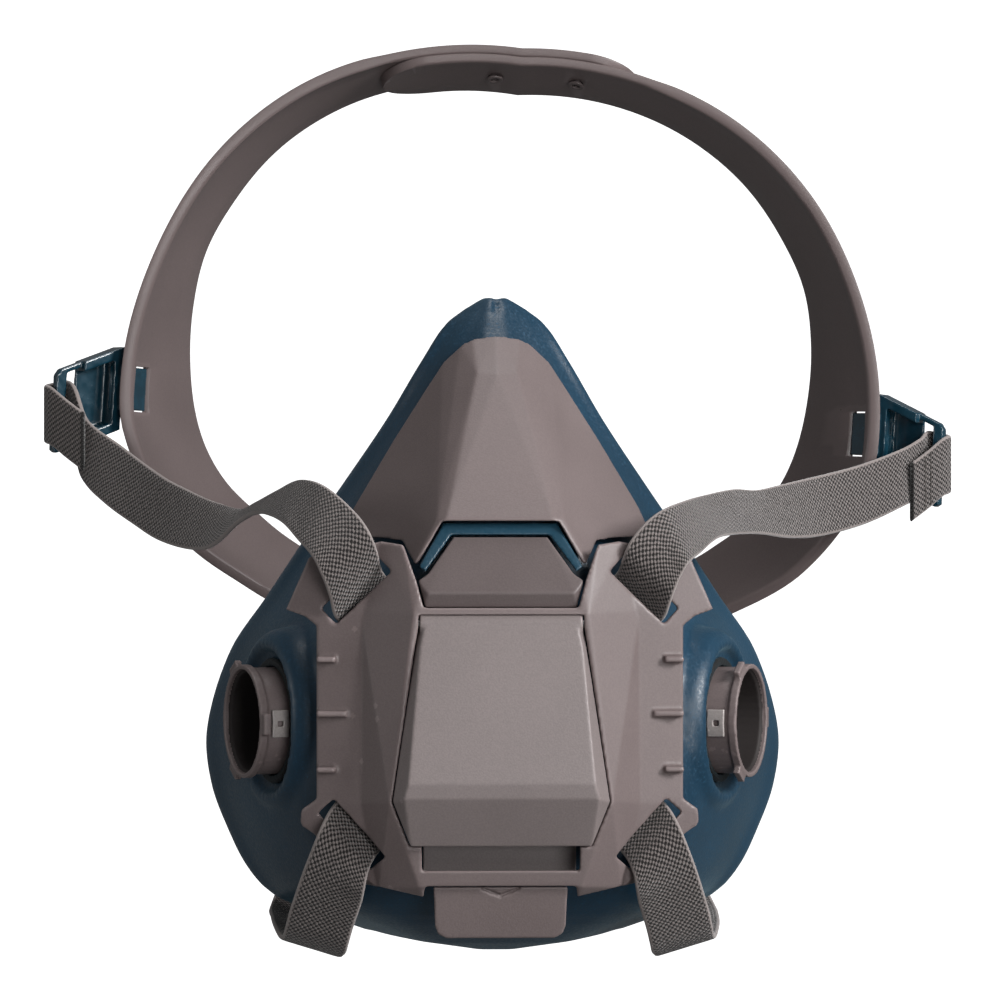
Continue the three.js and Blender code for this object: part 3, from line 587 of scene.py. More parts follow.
# ---------------------------------------------------------------- repeats
class Repeater:
    """A node tree that sets a small shape along the points of a line and skins the result."""

    def __init__(self, name: str) -> None:
        """Starts an empty tree with a geometry input and output."""
        self.tree = bpy.data.node_groups.new(name, "GeometryNodeTree")
        self.sockets: dict[str, str] = {}
        self.tree.interface.new_socket("Geometry", in_out="INPUT", socket_type="NodeSocketGeometry")
        self.tree.interface.new_socket("Geometry", in_out="OUTPUT", socket_type="NodeSocketGeometry")
        self.start = self.tree.nodes.new("NodeGroupInput")
        self.end = self.tree.nodes.new("NodeGroupOutput")

    def size(self, name: str, value: float) -> None:
        """Adds a named size to the tree."""
        socket = self.tree.interface.new_socket(name, in_out="INPUT", socket_type="NodeSocketFloat")
        socket.default_value = value
        self.sockets[name] = socket.identifier

    def add(self, kind: str, **settings: object) -> bpy.types.Node:
        """Adds a node of a given type."""
        node = self.tree.nodes.new(kind)
        for key, value in settings.items():
            setattr(node, key, value)
        return node

    def chain(self, *steps: tuple[bpy.types.Node, str, bpy.types.Node, str]) -> None:
        """Joins sockets, each by its node and name."""
        for source, out, target, into in steps:
            self.tree.links.new(source.outputs[out], target.inputs[into])

    def apply(self, item: bpy.types.Object, **sizes: float) -> bpy.types.Object:
        """Runs the tree on an object and keeps the plain mesh.

        Args:
            item: the object that holds the line or skin.
            sizes: the tree's sizes, by name with _ for each space, in millimetres.

        Returns:
            The same object.
        """
        modifier = item.modifiers.new("repeat", "NODES")
        modifier.node_group = self.tree
        for name, value in sizes.items():
            modifier[self.sockets[name.replace("_", " ")]] = value * MM
        return plain(item)


class StitchTree(Repeater):
    """Sets one rounded stitch on every point of a line, turned along the line."""

    def __init__(self, material: bpy.types.Material) -> None:
        """Builds the tree: points, an egg-shaped stitch on each, made real."""
        super().__init__("stitches")
        self.size("stitch length", 1.6 * MM)
        self.size("stitch width", 0.5 * MM)
        points = self.add("GeometryNodeMeshToPoints")
        shape = self.add("GeometryNodeMeshUVSphere")
        shape.inputs["Segments"].default_value = 8
        shape.inputs["Rings"].default_value = 6
        shape.inputs["Radius"].default_value = 0.5
        size = self.add("ShaderNodeCombineXYZ")
        heading = self.add("GeometryNodeInputNamedAttribute", data_type="FLOAT_VECTOR")
        heading.inputs["Name"].default_value = "heading"
        turn = self.add("FunctionNodeAlignRotationToVector", axis="Z")
        put = self.add("GeometryNodeInstanceOnPoints")
        real = self.add("GeometryNodeRealizeInstances")
        paint = self.add("GeometryNodeSetMaterial")
        paint.inputs["Material"].default_value = material
        self.chain((self.start, "Geometry", points, "Mesh"), (points, "Points", put, "Points"),
                   (shape, "Mesh", put, "Instance"), (self.start, "stitch width", size, "X"),
                   (self.start, "stitch width", size, "Y"), (self.start, "stitch length", size, "Z"),
                   (size, "Vector", put, "Scale"), (heading, "Attribute", turn, "Vector"),
                   (turn, "Rotation", put, "Rotation"), (put, "Instances", real, "Geometry"),
                   (real, "Geometry", paint, "Geometry"), (paint, "Geometry", self.end, "Geometry"))

    def sew(self, name: str, rows: list[list[Vector]]) -> bpy.types.Object:
        """Sews rows of stitches.

        Args:
            name: the new object's name.
            rows: each row's stitch places, in order.

        Returns:
            The stitches, as one plain mesh.
        """
        points = [p for row in rows for p in row]
        headings = [(row[min(i + 1, len(row) - 1)] - row[max(i - 1, 0)]).normalized() for row in rows for i in range(len(row))]
        item = mesh_object(name, points, [])
        stored = item.data.attributes.new("heading", "FLOAT_VECTOR", "POINT")
        for slot, heading in zip(stored.data, headings):
            slot.vector = heading
        return self.apply(item, stitch_length=1.5, stitch_width=0.5)


class WeaveTree(Repeater):
    """Raises a strap's skin in low ribs across its length, flat at the selvedge."""

    def __init__(self, material: bpy.types.Material) -> None:
        """Builds the tree: a rise along the normal that follows the stored length and width."""
        super().__init__("weave ribs")
        self.size("rib pitch", 1.96 * MM)
        self.size("rib height", 0.06 * MM)
        along = self.add("GeometryNodeInputNamedAttribute", data_type="FLOAT")
        along.inputs["Name"].default_value = "along"
        middle = self.add("GeometryNodeInputNamedAttribute", data_type="FLOAT")
        middle.inputs["Name"].default_value = "middle"
        share = self.add("ShaderNodeMath", operation="DIVIDE")
        turn = self.add("ShaderNodeMath", operation="MULTIPLY")
        turn.inputs[1].default_value = 2 * math.pi
        wave = self.add("ShaderNodeMath", operation="SINE")
        fade = self.add("ShaderNodeMath", operation="MULTIPLY")
        rise = self.add("ShaderNodeMath", operation="MULTIPLY")
        normal = self.add("GeometryNodeInputNormal")
        lift = self.add("ShaderNodeVectorMath", operation="SCALE")
        move = self.add("GeometryNodeSetPosition")
        real = self.add("GeometryNodeRealizeInstances")
        paint = self.add("GeometryNodeSetMaterial")
        paint.inputs["Material"].default_value = material
        links = self.tree.links
        links.new(along.outputs["Attribute"], share.inputs[0])
        links.new(self.start.outputs["rib pitch"], share.inputs[1])
        links.new(share.outputs[0], turn.inputs[0])
        links.new(turn.outputs[0], wave.inputs[0])
        links.new(wave.outputs[0], fade.inputs[0])
        links.new(middle.outputs["Attribute"], fade.inputs[1])
        links.new(fade.outputs[0], rise.inputs[0])
        links.new(self.start.outputs["rib height"], rise.inputs[1])
        links.new(rise.outputs[0], lift.inputs["Scale"])
        self.chain((normal, "Normal", lift, "Vector"), (lift, "Vector", move, "Offset"),
                   (self.start, "Geometry", move, "Geometry"), (move, "Geometry", real, "Geometry"),
                   (real, "Geometry", paint, "Geometry"), (paint, "Geometry", self.end, "Geometry"))


# ---------------------------------------------------------------- face seal
def port_frame(side: Side) -> Matrix:
    """Where a cheek's port sits: +Y of the frame runs out along the port's axis."""
    lean = math.radians(68)
    axis = Vector((side.value * math.sin(lean), -math.cos(lean), 0))
    turn = Vector((0, 1, 0)).rotation_difference(axis).to_matrix().to_4x4()
    return Matrix.Translation((side.value * 55.4, -32, 0)) @ turn


@dataclass
class FaceSeal:
    """The soft facepiece: one smooth skin, a boss round each port, and a turned-in rim."""

    wall: float = 2.6
    bottom: float = -58.3
    top: float = 105.6
    width: Table = Table(((-58.3, 9), (-56, 30), (-52, 42), (-47, 55), (-40, 62.5), (-30, 68), (-18, 72.5), (-4, 73.6),
                          (16, 67.5), (30, 58), (45, 48), (60, 37.5), (75, 27.3), (90, 18.3), (100, 11.5), (105.6, 3)))
    front: Table = Table(((-58.3, -20), (-56, -29), (-52, -38), (-47, -46), (-40, -52), (-30, -55), (-10, -56),
                          (30, -56), (45, -55.5), (60, -50.5), (75, -40.5), (90, -28), (100, -20), (105.6, -16)))
    widest: Table = Table(((-58.3, 2), (-47, -2), (-30, 3), (0, 7), (16, 6), (30, 3), (45, -1), (60, -6), (75, -11),
                           (90, -15), (105.6, -13)))
    turn: Table = Table(((-58.3, 0.5), (-40, 0.6), (16, 0.62), (30, 0.56), (38, 0.48), (45, 0.41), (52, 0.37),
                         (60, 0.33), (75, 0.26), (90, 0.22), (105.6, 0.2)))
    skin_steps: int = 56
    voxel: float = 0.95

    def ring(self, z: float, inset: float, back: float) -> list[Vector]:
        """The seal's section at a height.

        Args:
            z: the height.
            inset: how far the section lies inside the outer skin.
            back: the Y of the section's rear.

        Returns:
            The ring's points.
        """
        width = max(self.width.at(z) - inset, 0.8)
        front = min(self.front.at(z) + inset, self.widest.at(z) - 0.5)
        corner = Vector((self.turn.at(z) * width, front))
        edge = Vector((width, self.widest.at(z)))
        start = Vector((corner.x * 0.69, front))
        end = corner.lerp(edge, 0.22)
        bend = [start.lerp(corner, t).lerp(corner.lerp(end, t), t) for t in (0, 0.33, 0.67, 1)]
        flank = corner.lerp(edge, 0.55) + Vector((0.012 * width, -0.4))
        half = [Vector((0, front)), *bend, flank, corner.lerp(edge, 0.85), edge, Vector((width - 0.4, back))]
        line = spline(half, 5)
        left = [Vector((-p.x, p.y)) for p in reversed(line[1:])]
        return [Vector((p.x, p.y, z)) for p in [*left, *line]]

    def skin(self, name: str, inset: float, low: float, high: float, deep: bool = False) -> bpy.types.Object:
        """A closed skin at an inset, cut off at the rim, or run far back to hollow the seal out."""
        levels = [low + (high - low) * i / self.skin_steps for i in range(self.skin_steps + 1)]
        rim = [40 if deep else 14 - 0.0016 * (z + 10) ** 2 for z in levels]
        insets = [inset * (1 + max(0.0, (-45 - z) / 9)) if deep else inset for z in levels]
        return loft(name, [self.ring(z, step, back) for z, step, back in zip(levels, insets, rim)])

    def build(self) -> bpy.types.Object:
        """Makes the seal: skin, bosses, cavity, port holes and the outlet hole.

        Returns:
            The dressed piece.
        """
        boss = [(0.01, -15), (23.8, -15), (23, -3), (22.5, -0.9), (21.4, 0.9), (20.1, 2), (18.9, 2.4), (17.8, 1.8),
                (17.4, -0.6), (0.01, -0.6)]
        hollow = [(0.01, -22), (20.6, -22), (20, -6), (19.2, -3.4), (0.01, -3.4)]
        body = self.skin("face_seal_skin", 0, self.bottom, self.top)
        frames = [port_frame(side) for side in Side]
        for place in frames:
            ring = turned("boss", boss, place)
            combine(ring, bar("rear", (-90, 2, -70), (90, 60, 120)), "DIFFERENCE")
            combine(body, ring, "UNION")
        cavity = self.skin("cavity", self.wall, -54, 99, deep=True)
        shell = self.skin("shell", 0.8, self.bottom, self.top)
        for place in frames:
            combine(cavity, combine(turned("hollow", hollow, place), self.keep(shell, place), "INTERSECT"), "UNION")
        bpy.data.objects.remove(shell)
        combine(body, cavity, "DIFFERENCE")
        for place in frames:
            combine(body, turned("floor", [(0.01, -3.4), (20, -3.4), (20, -0.8), (0.01, -0.8)], place), "UNION")
            recess = [(0.01, -0.6), (17.4, -0.6), (17.8, 1.6), (20, 7), (0.01, 7)]
            combine(body, turned("recess", recess, place), "DIFFERENCE")
            combine(body, turned("hole", [(0.01, -8), (13.6, -8), (13.6, 3), (0.01, 3)], place), "DIFFERENCE")
        outlet = Matrix.Translation((0, -60, -13))
        combine(body, turned("outlet", [(0.01, -12), (13.6, -12), (13.6, 12), (0.01, 12)], outlet), "DIFFERENCE")
        combine(body, bar("apex notch", (-0.8, -30, 100.8), (0.8, 20, 108)), "DIFFERENCE")
        return dress(moulded(body, self.voxel, 6), SILICONE, "facepiece", "face_seal")

    def keep(self, shell: bpy.types.Object, place: Matrix) -> bpy.types.Object:
        """The space that a boss's hollow may fill: the inside of the skin and of the boss."""
        inside = bpy.data.objects.new("inside", shell.data.copy())
        bpy.context.scene.collection.objects.link(inside)
        boss = [(0.01, -13), (21.2, -13), (20.8, -5), (19.8, -2.6), (0.01, -2.6)]
        return combine(inside, turned("boss inside", boss, place), "UNION")


# ---------------------------------------------------------------- hard front and fittings
@dataclass
class MouldedSet:
    """Hard pieces that keep the solid model's shape, with moulded edges."""

    finish: Finish
    body: str
    nodes: tuple[str, ...]
    voxel: float = 0.4
    smoothing: int = 3
    swell: float = 0.0

    def build(self) -> list[bpy.types.Object]:
        """Makes each piece.

        Returns:
            The dressed pieces.
        """
        made = []
        for node in self.nodes:
            item = moulded(copy_of(node, node + "_piece"), self.voxel, self.smoothing, self.swell)
            made.append(dress(item, self.finish, self.body, node))
        return made


@dataclass
class FilterPort:
    """A bayonet port: a moulded tube with painted shade in its bore below its lip."""

    side: Side
    bore: float = 12.9
    lip: float = 7.2

    def build(self) -> bpy.types.Object:
        """Makes the tube and paints shade into its bore.

        Returns:
            The dressed piece.
        """
        node = f"{self.side.name.lower()}_port"
        item = dress(moulded(copy_of(node, node + "_piece"), 0.3, 2), TAUPE, "facepiece", node)
        # Painted shade: the near-black second finish goes on the faces inside the bore, below the lip.
        item.data.materials.append(bpy.data.materials.get(BORE_PAINTED_SHADE.name) or BORE_PAINTED_SHADE.build())
        inward = port_frame(self.side).inverted()
        for face in item.data.polygons:
            at = inward @ (face.center / MM)
            if math.hypot(at.x, at.z) < self.bore and at.y < self.lip:
                face.material_index = 1
        return item


# ---------------------------------------------------------------- head cradle
@dataclass
class HeadCradle:
    """One plastic band bent round the head: its arms lap at the crown, and it narrows at the neck."""

    centre: Row = (3.6, 0.0, 81.7)
    roll: float = 3.5
    thickness: float = 2.0
    lift: float = 2.4
    outer_end: float = 19.5
    inner_end: float = -384.0
    button_angles: Row = (-4.5, 10.0)
    front_radius: Table = Table(((0, 93.7), (21, 96.6), (37, 99.3), (53, 101.1), (69, 101.9), (90, 103.3), (98, 103),
                                 (116, 95.7), (130, 86.5), (153, 76.5), (180, 73), (207, 76.5)))
    rear_radius: Table = Table(((0, 87), (22, 90.7), (34, 92.5), (45, 93.6), (56, 93.6), (66, 93.4), (76, 91.2),
                                (85, 88.9), (100, 85.2), (109, 81.4), (120, 74.8), (142, 65.6), (180, 62), (218, 65.6)))
    front_depth: Table = Table(((0, 62), (95, 62), (116, 72), (130, 82), (153, 98), (180, 104), (207, 98)))
    rear_depth: Table = Table(((0, 82), (22, 84), (45, 90), (66, 94), (90, 95.5), (109, 98), (130, 106), (153, 115),
                               (180, 120), (207, 115)))

    def place(self) -> Matrix:
        """Where the loop hangs."""
        return Matrix.Translation(self.centre) @ Matrix.Rotation(math.radians(self.roll), 4, "Y")

    def point(self, angle: float, share: float, out: float) -> Vector:
        """A point of the band.

        Args:
            angle: degrees from the crown.
            share: 0 at the front edge and 1 at the rear edge.
            out: distance out from the band's outer face.

        Returns:
            The point, in the loop's own frame.
        """
        past = abs((angle % 360 + 540) % 360 - 180)
        front, rear = self.front_radius.at(past), self.rear_radius.at(past)
        radius = front + (rear - front) * share + out
        depth = self.front_depth.at(past) + (self.rear_depth.at(past) - self.front_depth.at(past)) * share
        turn = math.radians(angle)
        return Vector((radius * math.sin(turn), depth, radius * math.cos(turn)))

    def ring(self, angle: float) -> list[Vector]:
        """The band's section, with a thin lip along its front edge and round corners."""
        t = min(max((-angle - 26) / 54, 0), 1)
        lift = self.lift * (1 - t * t * (3 - 2 * t))
        reach = min(self.outer_end - angle, angle - self.inner_end) / 8.5
        width = math.sqrt(max(1 - (1 - min(reach, 1)) ** 2, 0.0004))
        lapped = min(max((26 - min(abs(angle), abs(angle + 360))) / 4, 0), 1)
        lip = 0.35 * (1 - lapped)
        section = [(0.0, 0.0), (0.02, 0.25), (0.08, 0.0), (0.3, 0.0), (0.5, 0.0), (0.7, 0.0), (0.94, 0.0), (0.985, -0.3),
                   (1.0, -1.0), (0.985, -1.7), (0.94, -2.0), (0.7, -2.0), (0.5, -2.0), (0.3, -2.0), (0.08, -2.0),
                   (0.02, -2.2), (0.0, -1.7), (0.0, -0.4)]
        made = []
        for share, out in section:
            edge = lip if share < 0.05 else 0
            side = 0.5 + (share - 0.5) * width
            made.append(self.point(angle, side, lift + out + (edge if out > -1 else -edge)))
        return made

    def build(self) -> bpy.types.Object:
        """Makes the band, with its buckle slots and crown holes, and the sizing buttons.

        Returns:
            The dressed piece.
        """
        angles, angle = [], self.outer_end - 0.02
        while angle > self.inner_end:
            angles.append(angle)
            near = min(self.outer_end - angle, angle - self.inner_end)
            angle -= 0.35 if near < 9 else 1.5
        band = loft("head_cradle_band", [self.ring(a) for a in [*angles, self.inner_end + 0.02]])
        for side in (-1, 1):
            x = side * 100
            combine(band, bar("slot", (x - 15, 64.6, -9.2), (x + 15, 72, 3.2)), "DIFFERENCE")
        for turn in self.button_angles:
            combine(band, turned("hole", [(0.01, -6), (1.8, -6), (1.8, 6), (0.01, 6)], self.button(turn), 32), "DIFFERENCE")
        band.data.transform(Matrix.Scale(MM, 4) @ self.place() @ Matrix.Scale(1 / MM, 4))
        rounded = band.modifiers.new("edge", "BEVEL")
        rounded.width = 0.25 * MM
        rounded.segments = 2
        rounded.limit_method = "ANGLE"
        rounded.angle_limit = math.radians(50)
        self.pegs()
        return dress(plain(band), CRADLE, "harness", "head_cradle")

    def pegs(self) -> None:
        """Makes the sizing buttons, each with a dimple in its inner head."""
        profile = [(0.01, -1.4), (1.15, -1.4), (1.15, -2.9), (1.35, -3), (2.1, -3), (2.3, -2.8), (2.3, -2.4), (1.4, -2.3),
                   (1.4, 2.9), (3.4, 3.1), (3.4, 3.4), (3, 3.9), (0.01, 3.9)]
        for i, angle in enumerate(self.button_angles, 1):
            item = turned(f"crown_button_{i}_piece", profile, self.place() @ self.button(angle), 48)
            dress(moulded(item, 0.16, 1), BUTTON, "harness", f"crown_button_{i}")

    def button(self, angle: float) -> Matrix:
        """Where a sizing button goes: +Y of its frame points out of the band."""
        low, high = self.point(angle, 0, 0), self.point(angle, 1, 0)
        turn = math.radians(angle)
        out = (high - low).normalized().cross(Vector((math.cos(turn), 0, -math.sin(turn)))).normalized()
        if out.z < 0:
            out.negate()
        spin = Vector((0, 1, 0)).rotation_difference(out).to_matrix().to_4x4()
        return Matrix.Translation(low.lerp(high, 0.5)) @ spin


# ---------------------------------------------------------------- straps
def sewn_loop(bar_at: Row, along: Row, front: Row) -> list[Row]:
    """Stations of a strap's sewn end: tail in front, round the buckle's bar, and back to the run."""
    x, y, z = bar_at
    steps = ((12, 2.1, -7.6), (6, 2.7, -4), (1, 3, -0.8), (-2.3, 2.1, 0), (-3.1, 0, 0.4), (-2.3, -2.1, 0.8),
             (1, -2.9, 1.2), (5, -1.7, -0.9))
    return [(x + e * along[0] + f * front[0], y + e * along[1] + f * front[1], z + drop, 0, 0, 1) for e, f, drop in steps]


LEFT_UPPER = [
    *sewn_loop((-116.7, 59.2, 77.8), (0.76, -0.65), (-0.65, -0.76)),
    (-108.6, 52, 68, 0.1, 0.1, 0.98), (-100.5, 43, 61.3, 0.3, 0.1, 0.95), (-92.5, 34, 55.8, 0.26, 0.1, 0.96),
    (-84.5, 24, 51.2, 0.23, 0.2, 0.95), (-73.2, 8, 48, 0.11, 0.62, 0.78), (-64.7, -6, 50.4, 0, 0.98, 0.19),
    (-60, -18, 52.4, -0.05, 0.99, 0.14), (-55, -32, 53.6, 0.08, 0.92, 0.39), (-50, -47, 54, 0.25, 0.69, 0.68),
    (-45, -57.6, 51.1, 0.38, 0.38, 0.84), (-40.4, -64, 46.8, 0.53, 0.3, 0.79), (-37.1, -67, 41.9, 0.68, 0.06, 0.72),
    (-35.2, -65.2, 37, 0.72, 0, 0.69), (-34.2, -62, 32.6, 0.72, 0, 0.69), (-32.4, -58.6, 30, 0.72, 0, 0.69),
    (-28.6, -57.4, 26.2, 0.72, 0, 0.69),
]
RIGHT_UPPER = [
    *sewn_loop((122.5, 59.2, 64.2), (-0.8, -0.6), (0.6, -0.8)),
    (111.4, 50.4, 60.4, 0, 0.2, 0.98), (99.7, 41, 56, -0.1, 0.1, 0.99), (86.9, 29, 52.9, -0.2, 0.15, 0.97),
    (77, 15, 51.6, -0.1, 0.45, 0.89), (68.2, 0, 51.4, 0, 0.7, 0.72), (60, -18, 51.5, 0.05, 0.69, 0.72),
    (52.6, -36, 50.3, -0.13, 0.72, 0.68), (46.9, -51.6, 48, -0.2, 0.57, 0.8), (42.4, -61.4, 45.9, -0.31, 0.45, 0.83),
    (38.9, -64.6, 42.6, -0.5, 0.2, 0.84), (36.2, -65.8, 38.6, -0.68, 0.05, 0.73), (34.9, -64.4, 35, -0.72, 0, 0.69),
    (34, -61.2, 32, -0.72, 0, 0.69), (32.2, -58.4, 29.8, -0.72, 0, 0.69), (28.6, -57.4, 26.2, -0.72, 0, 0.69),
]
RIGHT_LOWER = [
    (30.6, -57.4, -19.6, 0.68, 0, 0.74), (33.6, -58.8, -23.2, 0.68, 0, 0.74), (35.8, -62, -26, 0.68, 0, 0.74),
    (37.4, -64.4, -29.4, 0.72, 0, 0.7), (39, -63.6, -34.4, 0.82, 0, 0.57), (40.8, -60.4, -40, 0.93, 0, 0.36),
    (42.8, -56.4, -46, 0.96, 0.05, 0.27), (44, -53.4, -50.4, 0.96, 0.05, 0.27), (44.8, -49.6, -53.2, 0.96, 0.05, 0.27),
    (46, -44, -54.2, 0.95, 0, 0.3), (48, -30, -53.6, 0.93, 0, 0.36), (49.4, -10, -53.4, 0.93, 0, 0.36),
    (50, 8, -53, 0.93, 0, 0.36), (47, 28, -47, 0.8, 0.2, 0.55), (40, 48, -40, 0.4, 0.4, 0.8),
    (28, 68, -35.4, 0.1, 0.2, 0.98), (21, 74, -33.8, 0, 0.05, 1), (17.4, 75.4, -33.5, 0, 0, 1),
    (14.5, 75.9, -33.5, 0, 0, 1), (13.5, 78, -33.5, 0, 0, 1), (14.5, 80.1, -33.5, 0, 0, 1),
    (17.6, 80.2, -33.6, 0, 0, 1), (22.8, 76.2, -34, 0, 0.05, 1), (27.4, 71.9, -35, 0.05, 0.1, 0.99),
]
LEFT_LOWER = [(-x, y, z, -u, v, w) for x, y, z, u, v, w in RIGHT_LOWER]


@dataclass
class Strap:
    """A length of woven elastic through its stations, ribbed, with sewn ends."""

    name: str
    node: str
    stations: list[Row]
    rests_on: list[str]
    tail_first: bool = True
    width: float = 15.9
    thickness: float = 1.3
    step: float = 0.45
    frames: list[tuple[Vector, Vector, Vector]] = field(default_factory=list)

    def trace(self) -> list[float]:
        """Works out the strap's frames: middle, across and outward at even steps.

        Returns:
            How far along the strap each frame is.
        """
        rough = spline([Vector(s[:3] + tuple(6 * c for c in s[3:])) for s in self.stations], 24)
        lengths = [0.0]
        for a, b in zip(rough, rough[1:]):
            lengths.append(lengths[-1] + (b - a).to_3d().length)
        count = int(lengths[-1] / self.step)
        marks, k, line = [], 0, []
        for i in range(count + 1):
            at = lengths[-1] * i / count
            while k < len(rough) - 2 and lengths[k + 1] < at:
                k += 1
            share = (at - lengths[k]) / max(lengths[k + 1] - lengths[k], 1e-9)
            line.append(rough[k].lerp(rough[k + 1], share))
            marks.append(at)
        self.frames = []
        for i, mid in enumerate(line):
            ahead = (line[min(i + 1, count)] - line[max(i - 1, 0)]).to_3d().normalized()
            across = Vector(mid[3:6]).normalized()
            self.frames.append((mid.to_3d(), across, ahead.cross(across).normalized()))
        return marks

    def section(self) -> list[Row]:
        """The strap's section, with rounded selvedges, as across and out pairs."""
        w, t = self.width / 2, self.thickness / 2
        top = [(-w + 0.35, t * 0.8), *((-w + 0.9 + (2 * w - 1.8) * i / 12, t) for i in range(13)), (w - 0.35, t * 0.8)]
        bottom = [(x, -y) for x, y in reversed(top)]
        return [(-w, 0), *top, (w, 0), *bottom]

    def build(self, weave: WeaveTree) -> bpy.types.Object:
        """Makes the strap's skin, its UV map and its ribs.

        Args:
            weave: the tree that raises the ribs.

        Returns:
            The strap, not yet riding on anything.
        """
        marks, section = self.trace(), self.section()
        rings = [[mid + across * a + out * b for a, b in section] for mid, across, out in self.frames]
        item = loft(self.name, rings)
        along = item.data.attributes.new("along", "FLOAT", "POINT")
        middle = item.data.attributes.new("middle", "FLOAT", "POINT")
        count = len(section)
        spots = [(marks[r], a) for r in range(len(rings)) for a, _ in section] + [(marks[0], 0), (marks[-1], 0)]
        for i, (mark, a) in enumerate(spots):
            along.data[i].value = mark * MM
            middle.data[i].value = 1 if abs(a) < self.width / 2 - 1 and 1 < i // count < len(rings) - 2 else 0
        uv = item.data.uv_layers.new(name="weave")
        for loop in item.data.loops:
            mark, a = spots[loop.vertex_index]
            uv.data[loop.index].uv = (a, mark)
        weave.apply(item, rib_pitch=1.96, rib_height=0.05)
        item.data.shade_smooth()
        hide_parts(self.node)
        LOG.info("%s: %.0f mm long, %d faces", self.name, marks[-1], len(item.data.polygons))
        return item

    def declare(self, item: bpy.types.Object, stitches: bpy.types.Object | None) -> None:
        """Does nothing: the webbing's cut size is not stated."""

    def stitch_rows(self, at: float, reach: float) -> list[list[Vector]]:
        """Two rows of stitches across the strap, on its outer face.

        Args:
            at: how far along the strap the first row is.
            reach: the gap between the rows.

        Returns:
            The stitches' places, row by row.
        """
        rows = []
        for mark in (at, at + reach):
            mid, across, out = self.frames[int(mark / self.step)]
            rows.append([mid + across * (-6.4 + 1.6 * i) + out * (self.thickness / 2 + 0.05) for i in range(9)])
        return rows


# ---------------------------------------------------------------- studio
@dataclass
class Studio:
    """A pale floor that sweeps up behind, soft lights, and the camera in front of the mask."""

    eye: Row = (-24, -960, 54.5)
    target: Row = (0, -60, 54.5)
    lens: float = 135.0
    floor_z: float = -320.0

    def build(self) -> None:
        """Sets up floor, lights, world and camera."""
        scene = bpy.context.scene
        camera = bpy.data.objects.new("camera", bpy.data.cameras.new("camera"))
        camera.data.lens = self.lens
        camera.data.sensor_width = 36
        camera.location = Vector(self.eye) * MM
        camera.rotation_euler = (Vector(self.target) - Vector(self.eye)).to_track_quat("-Z", "Y").to_euler()
        scene.collection.objects.link(camera)
        scene.camera = camera
        scene.view_settings.view_transform = "Standard"
        floor = self.floor()
        self.light("key", (820, -600, 480), 360, 14.0)
        self.light("front", (330, -1100, 220), 400, 3.8)
        self.light("low", (330, -1000, -300), 400, 2.6)
        self.light("fill", (-1000, -150, 200), 360, 1.0)
        self.light("top", (0, 0, 1000), 450, 3.2)
        world = bpy.data.worlds.new("studio")
        world.use_nodes = True
        world.node_tree.nodes["Background"].inputs["Color"].default_value = (1, 1, 1, 1)
        world.node_tree.nodes["Background"].inputs["Strength"].default_value = 0.14
        scene.world = world

    def floor(self) -> bpy.types.Object:
        """The floor: level in front and bent up into a far wall, with a painted glow that grows towards the wall."""
        line = [(-4000, 0), (1500, 0)] + [(1500 + 900 * math.sin(a), 900 - 900 * math.cos(a)) for a in
                                          [math.pi / 2 * i / 16 for i in range(1, 17)]] + [(2400, 4500)]
        points = [Vector((x, y, self.floor_z + z)) for y, z in line for x in (-5000, 5000)]
        faces = [(2 * i, 2 * i + 1, 2 * i + 3, 2 * i + 2) for i in range(len(line) - 1)]
        item = mesh_object("floor", points, faces)
        graph = Graph("pale paper")
        graph.link(graph.mix(graph.noise(3, 2), (0.93, 0.93, 0.93, 1), (0.96, 0.96, 0.96, 1)), graph.shader.inputs["Base Color"])
        graph.shader.inputs["Roughness"].default_value = 0.9
        split = graph.add("SeparateXYZ")
        graph.link(graph.place(), split.inputs[0])
        # Painted light: the floor glows at 0.55 in front and up to full strength from 1.2 m behind, so it is brighter
        # towards the far wall.
        graph.shader.inputs["Emission Color"].default_value = (1, 1, 1, 1)
        graph.link(graph.spread(split.outputs[1], 0.0, 1.2, 0.55, 1.0), graph.shader.inputs["Emission Strength"])
        item.data.materials.append(graph.material)
        item.visible_diffuse = False
        item.visible_glossy = False
        return item

    def light(self, name: str, at: Row, size: float, watts: float) -> None:
        """Hangs a square soft light that faces the mask."""
        data = bpy.data.lights.new(name, "AREA")
        data.size = size * MM
        data.energy = watts
        item = bpy.data.objects.new(name, data)
        item.location = Vector(at) * MM
        item.rotation_euler = (Vector((0, 0, 40)) - Vector(at)).to_track_quat("-Z", "Y").to_euler()
        item.visible_camera = False
        bpy.context.scene.collection.objects.link(item)


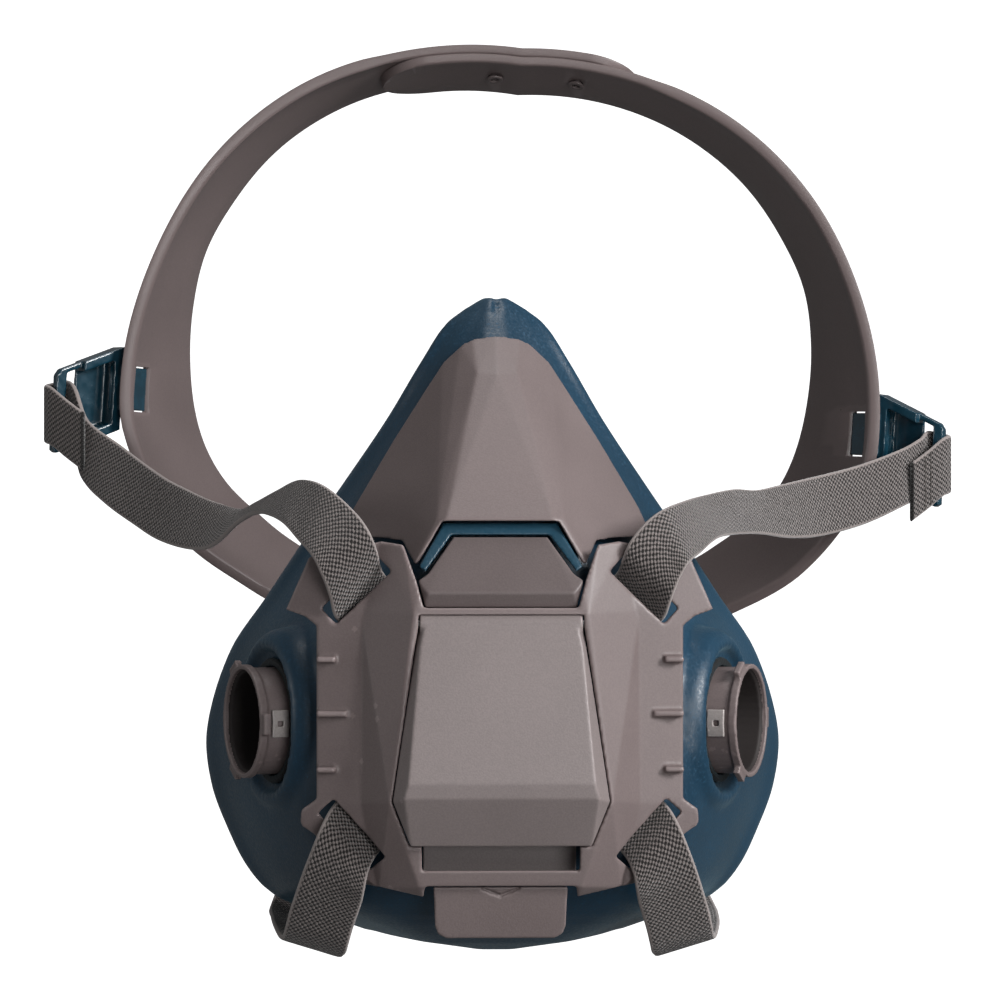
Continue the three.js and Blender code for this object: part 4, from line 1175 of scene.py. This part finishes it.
# ---------------------------------------------------------------- assembly
def fittings() -> list[MouldedSet]:
    """Every hard or small soft piece that keeps the solid model's shape."""
    return [
        MouldedSet(TAUPE, "facepiece", ("nose_shell",), 0.5, 3),
        MouldedSet(TAUPE, "facepiece", ("yoke",), 0.45, 2),
        MouldedSet(TAUPE_PAINTED_SHADE, "facepiece", ("bridge_cover",), 0.35, 2),
        MouldedSet(GASKET_TEAL, "facepiece", ("bridge_gasket",), 0.4, 2),
        MouldedSet(PANEL, "latch", ("latch_plate",), 0.36, 2, 0.05),
        MouldedSet(TAUPE, "tab", ("release_tab",), 0.3, 3),
        MouldedSet(CATCH, "facepiece", ("left_port_catch", "right_port_catch"), 0.18, 2),
        # Port gaskets in the near-black finish that paints the recess shade.
        MouldedSet(RECESS_SHADE_RUBBER, "facepiece", ("left_port_gasket", "right_port_gasket"), 0.25, 2),
        MouldedSet(PANEL, "facepiece", ("left_inhale_seat", "right_inhale_seat", "exhale_seat"), 0.3, 2),
        MouldedSet(FLAP, "facepiece", ("left_inhale_plug", "right_inhale_plug", "exhale_plug"), 0.2, 2),
        MouldedSet(FLAP, "left_inhale", ("left_inhale_flap",), 0.22, 1),
        MouldedSet(FLAP, "right_inhale", ("right_inhale_flap",), 0.22, 1),
        MouldedSet(FLAP, "exhale", ("exhale_flap",), 0.22, 1),
        MouldedSet(PANEL, "facepiece", ("inner_frame",), 0.4, 2),
        MouldedSet(PIN_STEEL, "facepiece", ("latch_pin",), 0.2, 1),
        MouldedSet(CLIP, "harness", ("left_buckle", "right_buckle"), 0.28, 3),
        MouldedSet(CLIP, "facepiece", ("neck_clasp_eye",), 0.3, 3),
        MouldedSet(CLIP, "clasp_hook", ("neck_clasp_hook",), 0.3, 3),
    ]


def webbing() -> None:
    """Makes the four straps and their stitches, and sets the left lower strap and its stitches on the facepiece."""
    weave = WeaveTree(WEBBING.build())
    sewing = StitchTree(THREAD.build())
    straps = [
        Strap("left_upper_webbing", "left_upper_strap", LEFT_UPPER, ["left_buckle_piece", "yoke_piece"]),
        Strap("right_upper_webbing", "right_upper_strap", RIGHT_UPPER, ["right_buckle_piece", "yoke_piece"]),
        Strap("left_lower_webbing", "left_lower_strap", LEFT_LOWER, ["yoke_piece", "neck_clasp_eye_piece"]),
        Strap("right_lower_webbing", "right_lower_strap", RIGHT_LOWER, ["yoke_piece", "neck_clasp_hook_piece"]),
    ]
    for strap in straps:
        item = strap.build(weave)
        rows = strap.stitch_rows(5, 2.2) if "upper" in strap.name else strap.stitch_rows(len(strap.frames) * strap.step - 7, 2.2)
        stitches = sewing.sew(strap.name.replace("webbing", "stitches"), rows)
        for piece in (item, stitches):
            if strap.name.startswith("left_lower"):
                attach(piece, "facepiece")
            elif strap.name.startswith("right_lower"):
                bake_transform(piece)
            elif strap.name.startswith("left"):
                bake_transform(piece)
            else:
                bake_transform(piece)
        strap.declare(item, stitches)


def main() -> None:
    """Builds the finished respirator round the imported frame."""
    logging.basicConfig(level=logging.INFO, format="%(name)s %(message)s")
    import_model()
    Studio().build()
    FaceSeal().build()
    for pieces in fittings():
        pieces.build()
    for side in Side:
        FilterPort(side).build()
    HeadCradle().build()
    webbing()


if __name__ == "__main__":
    main()
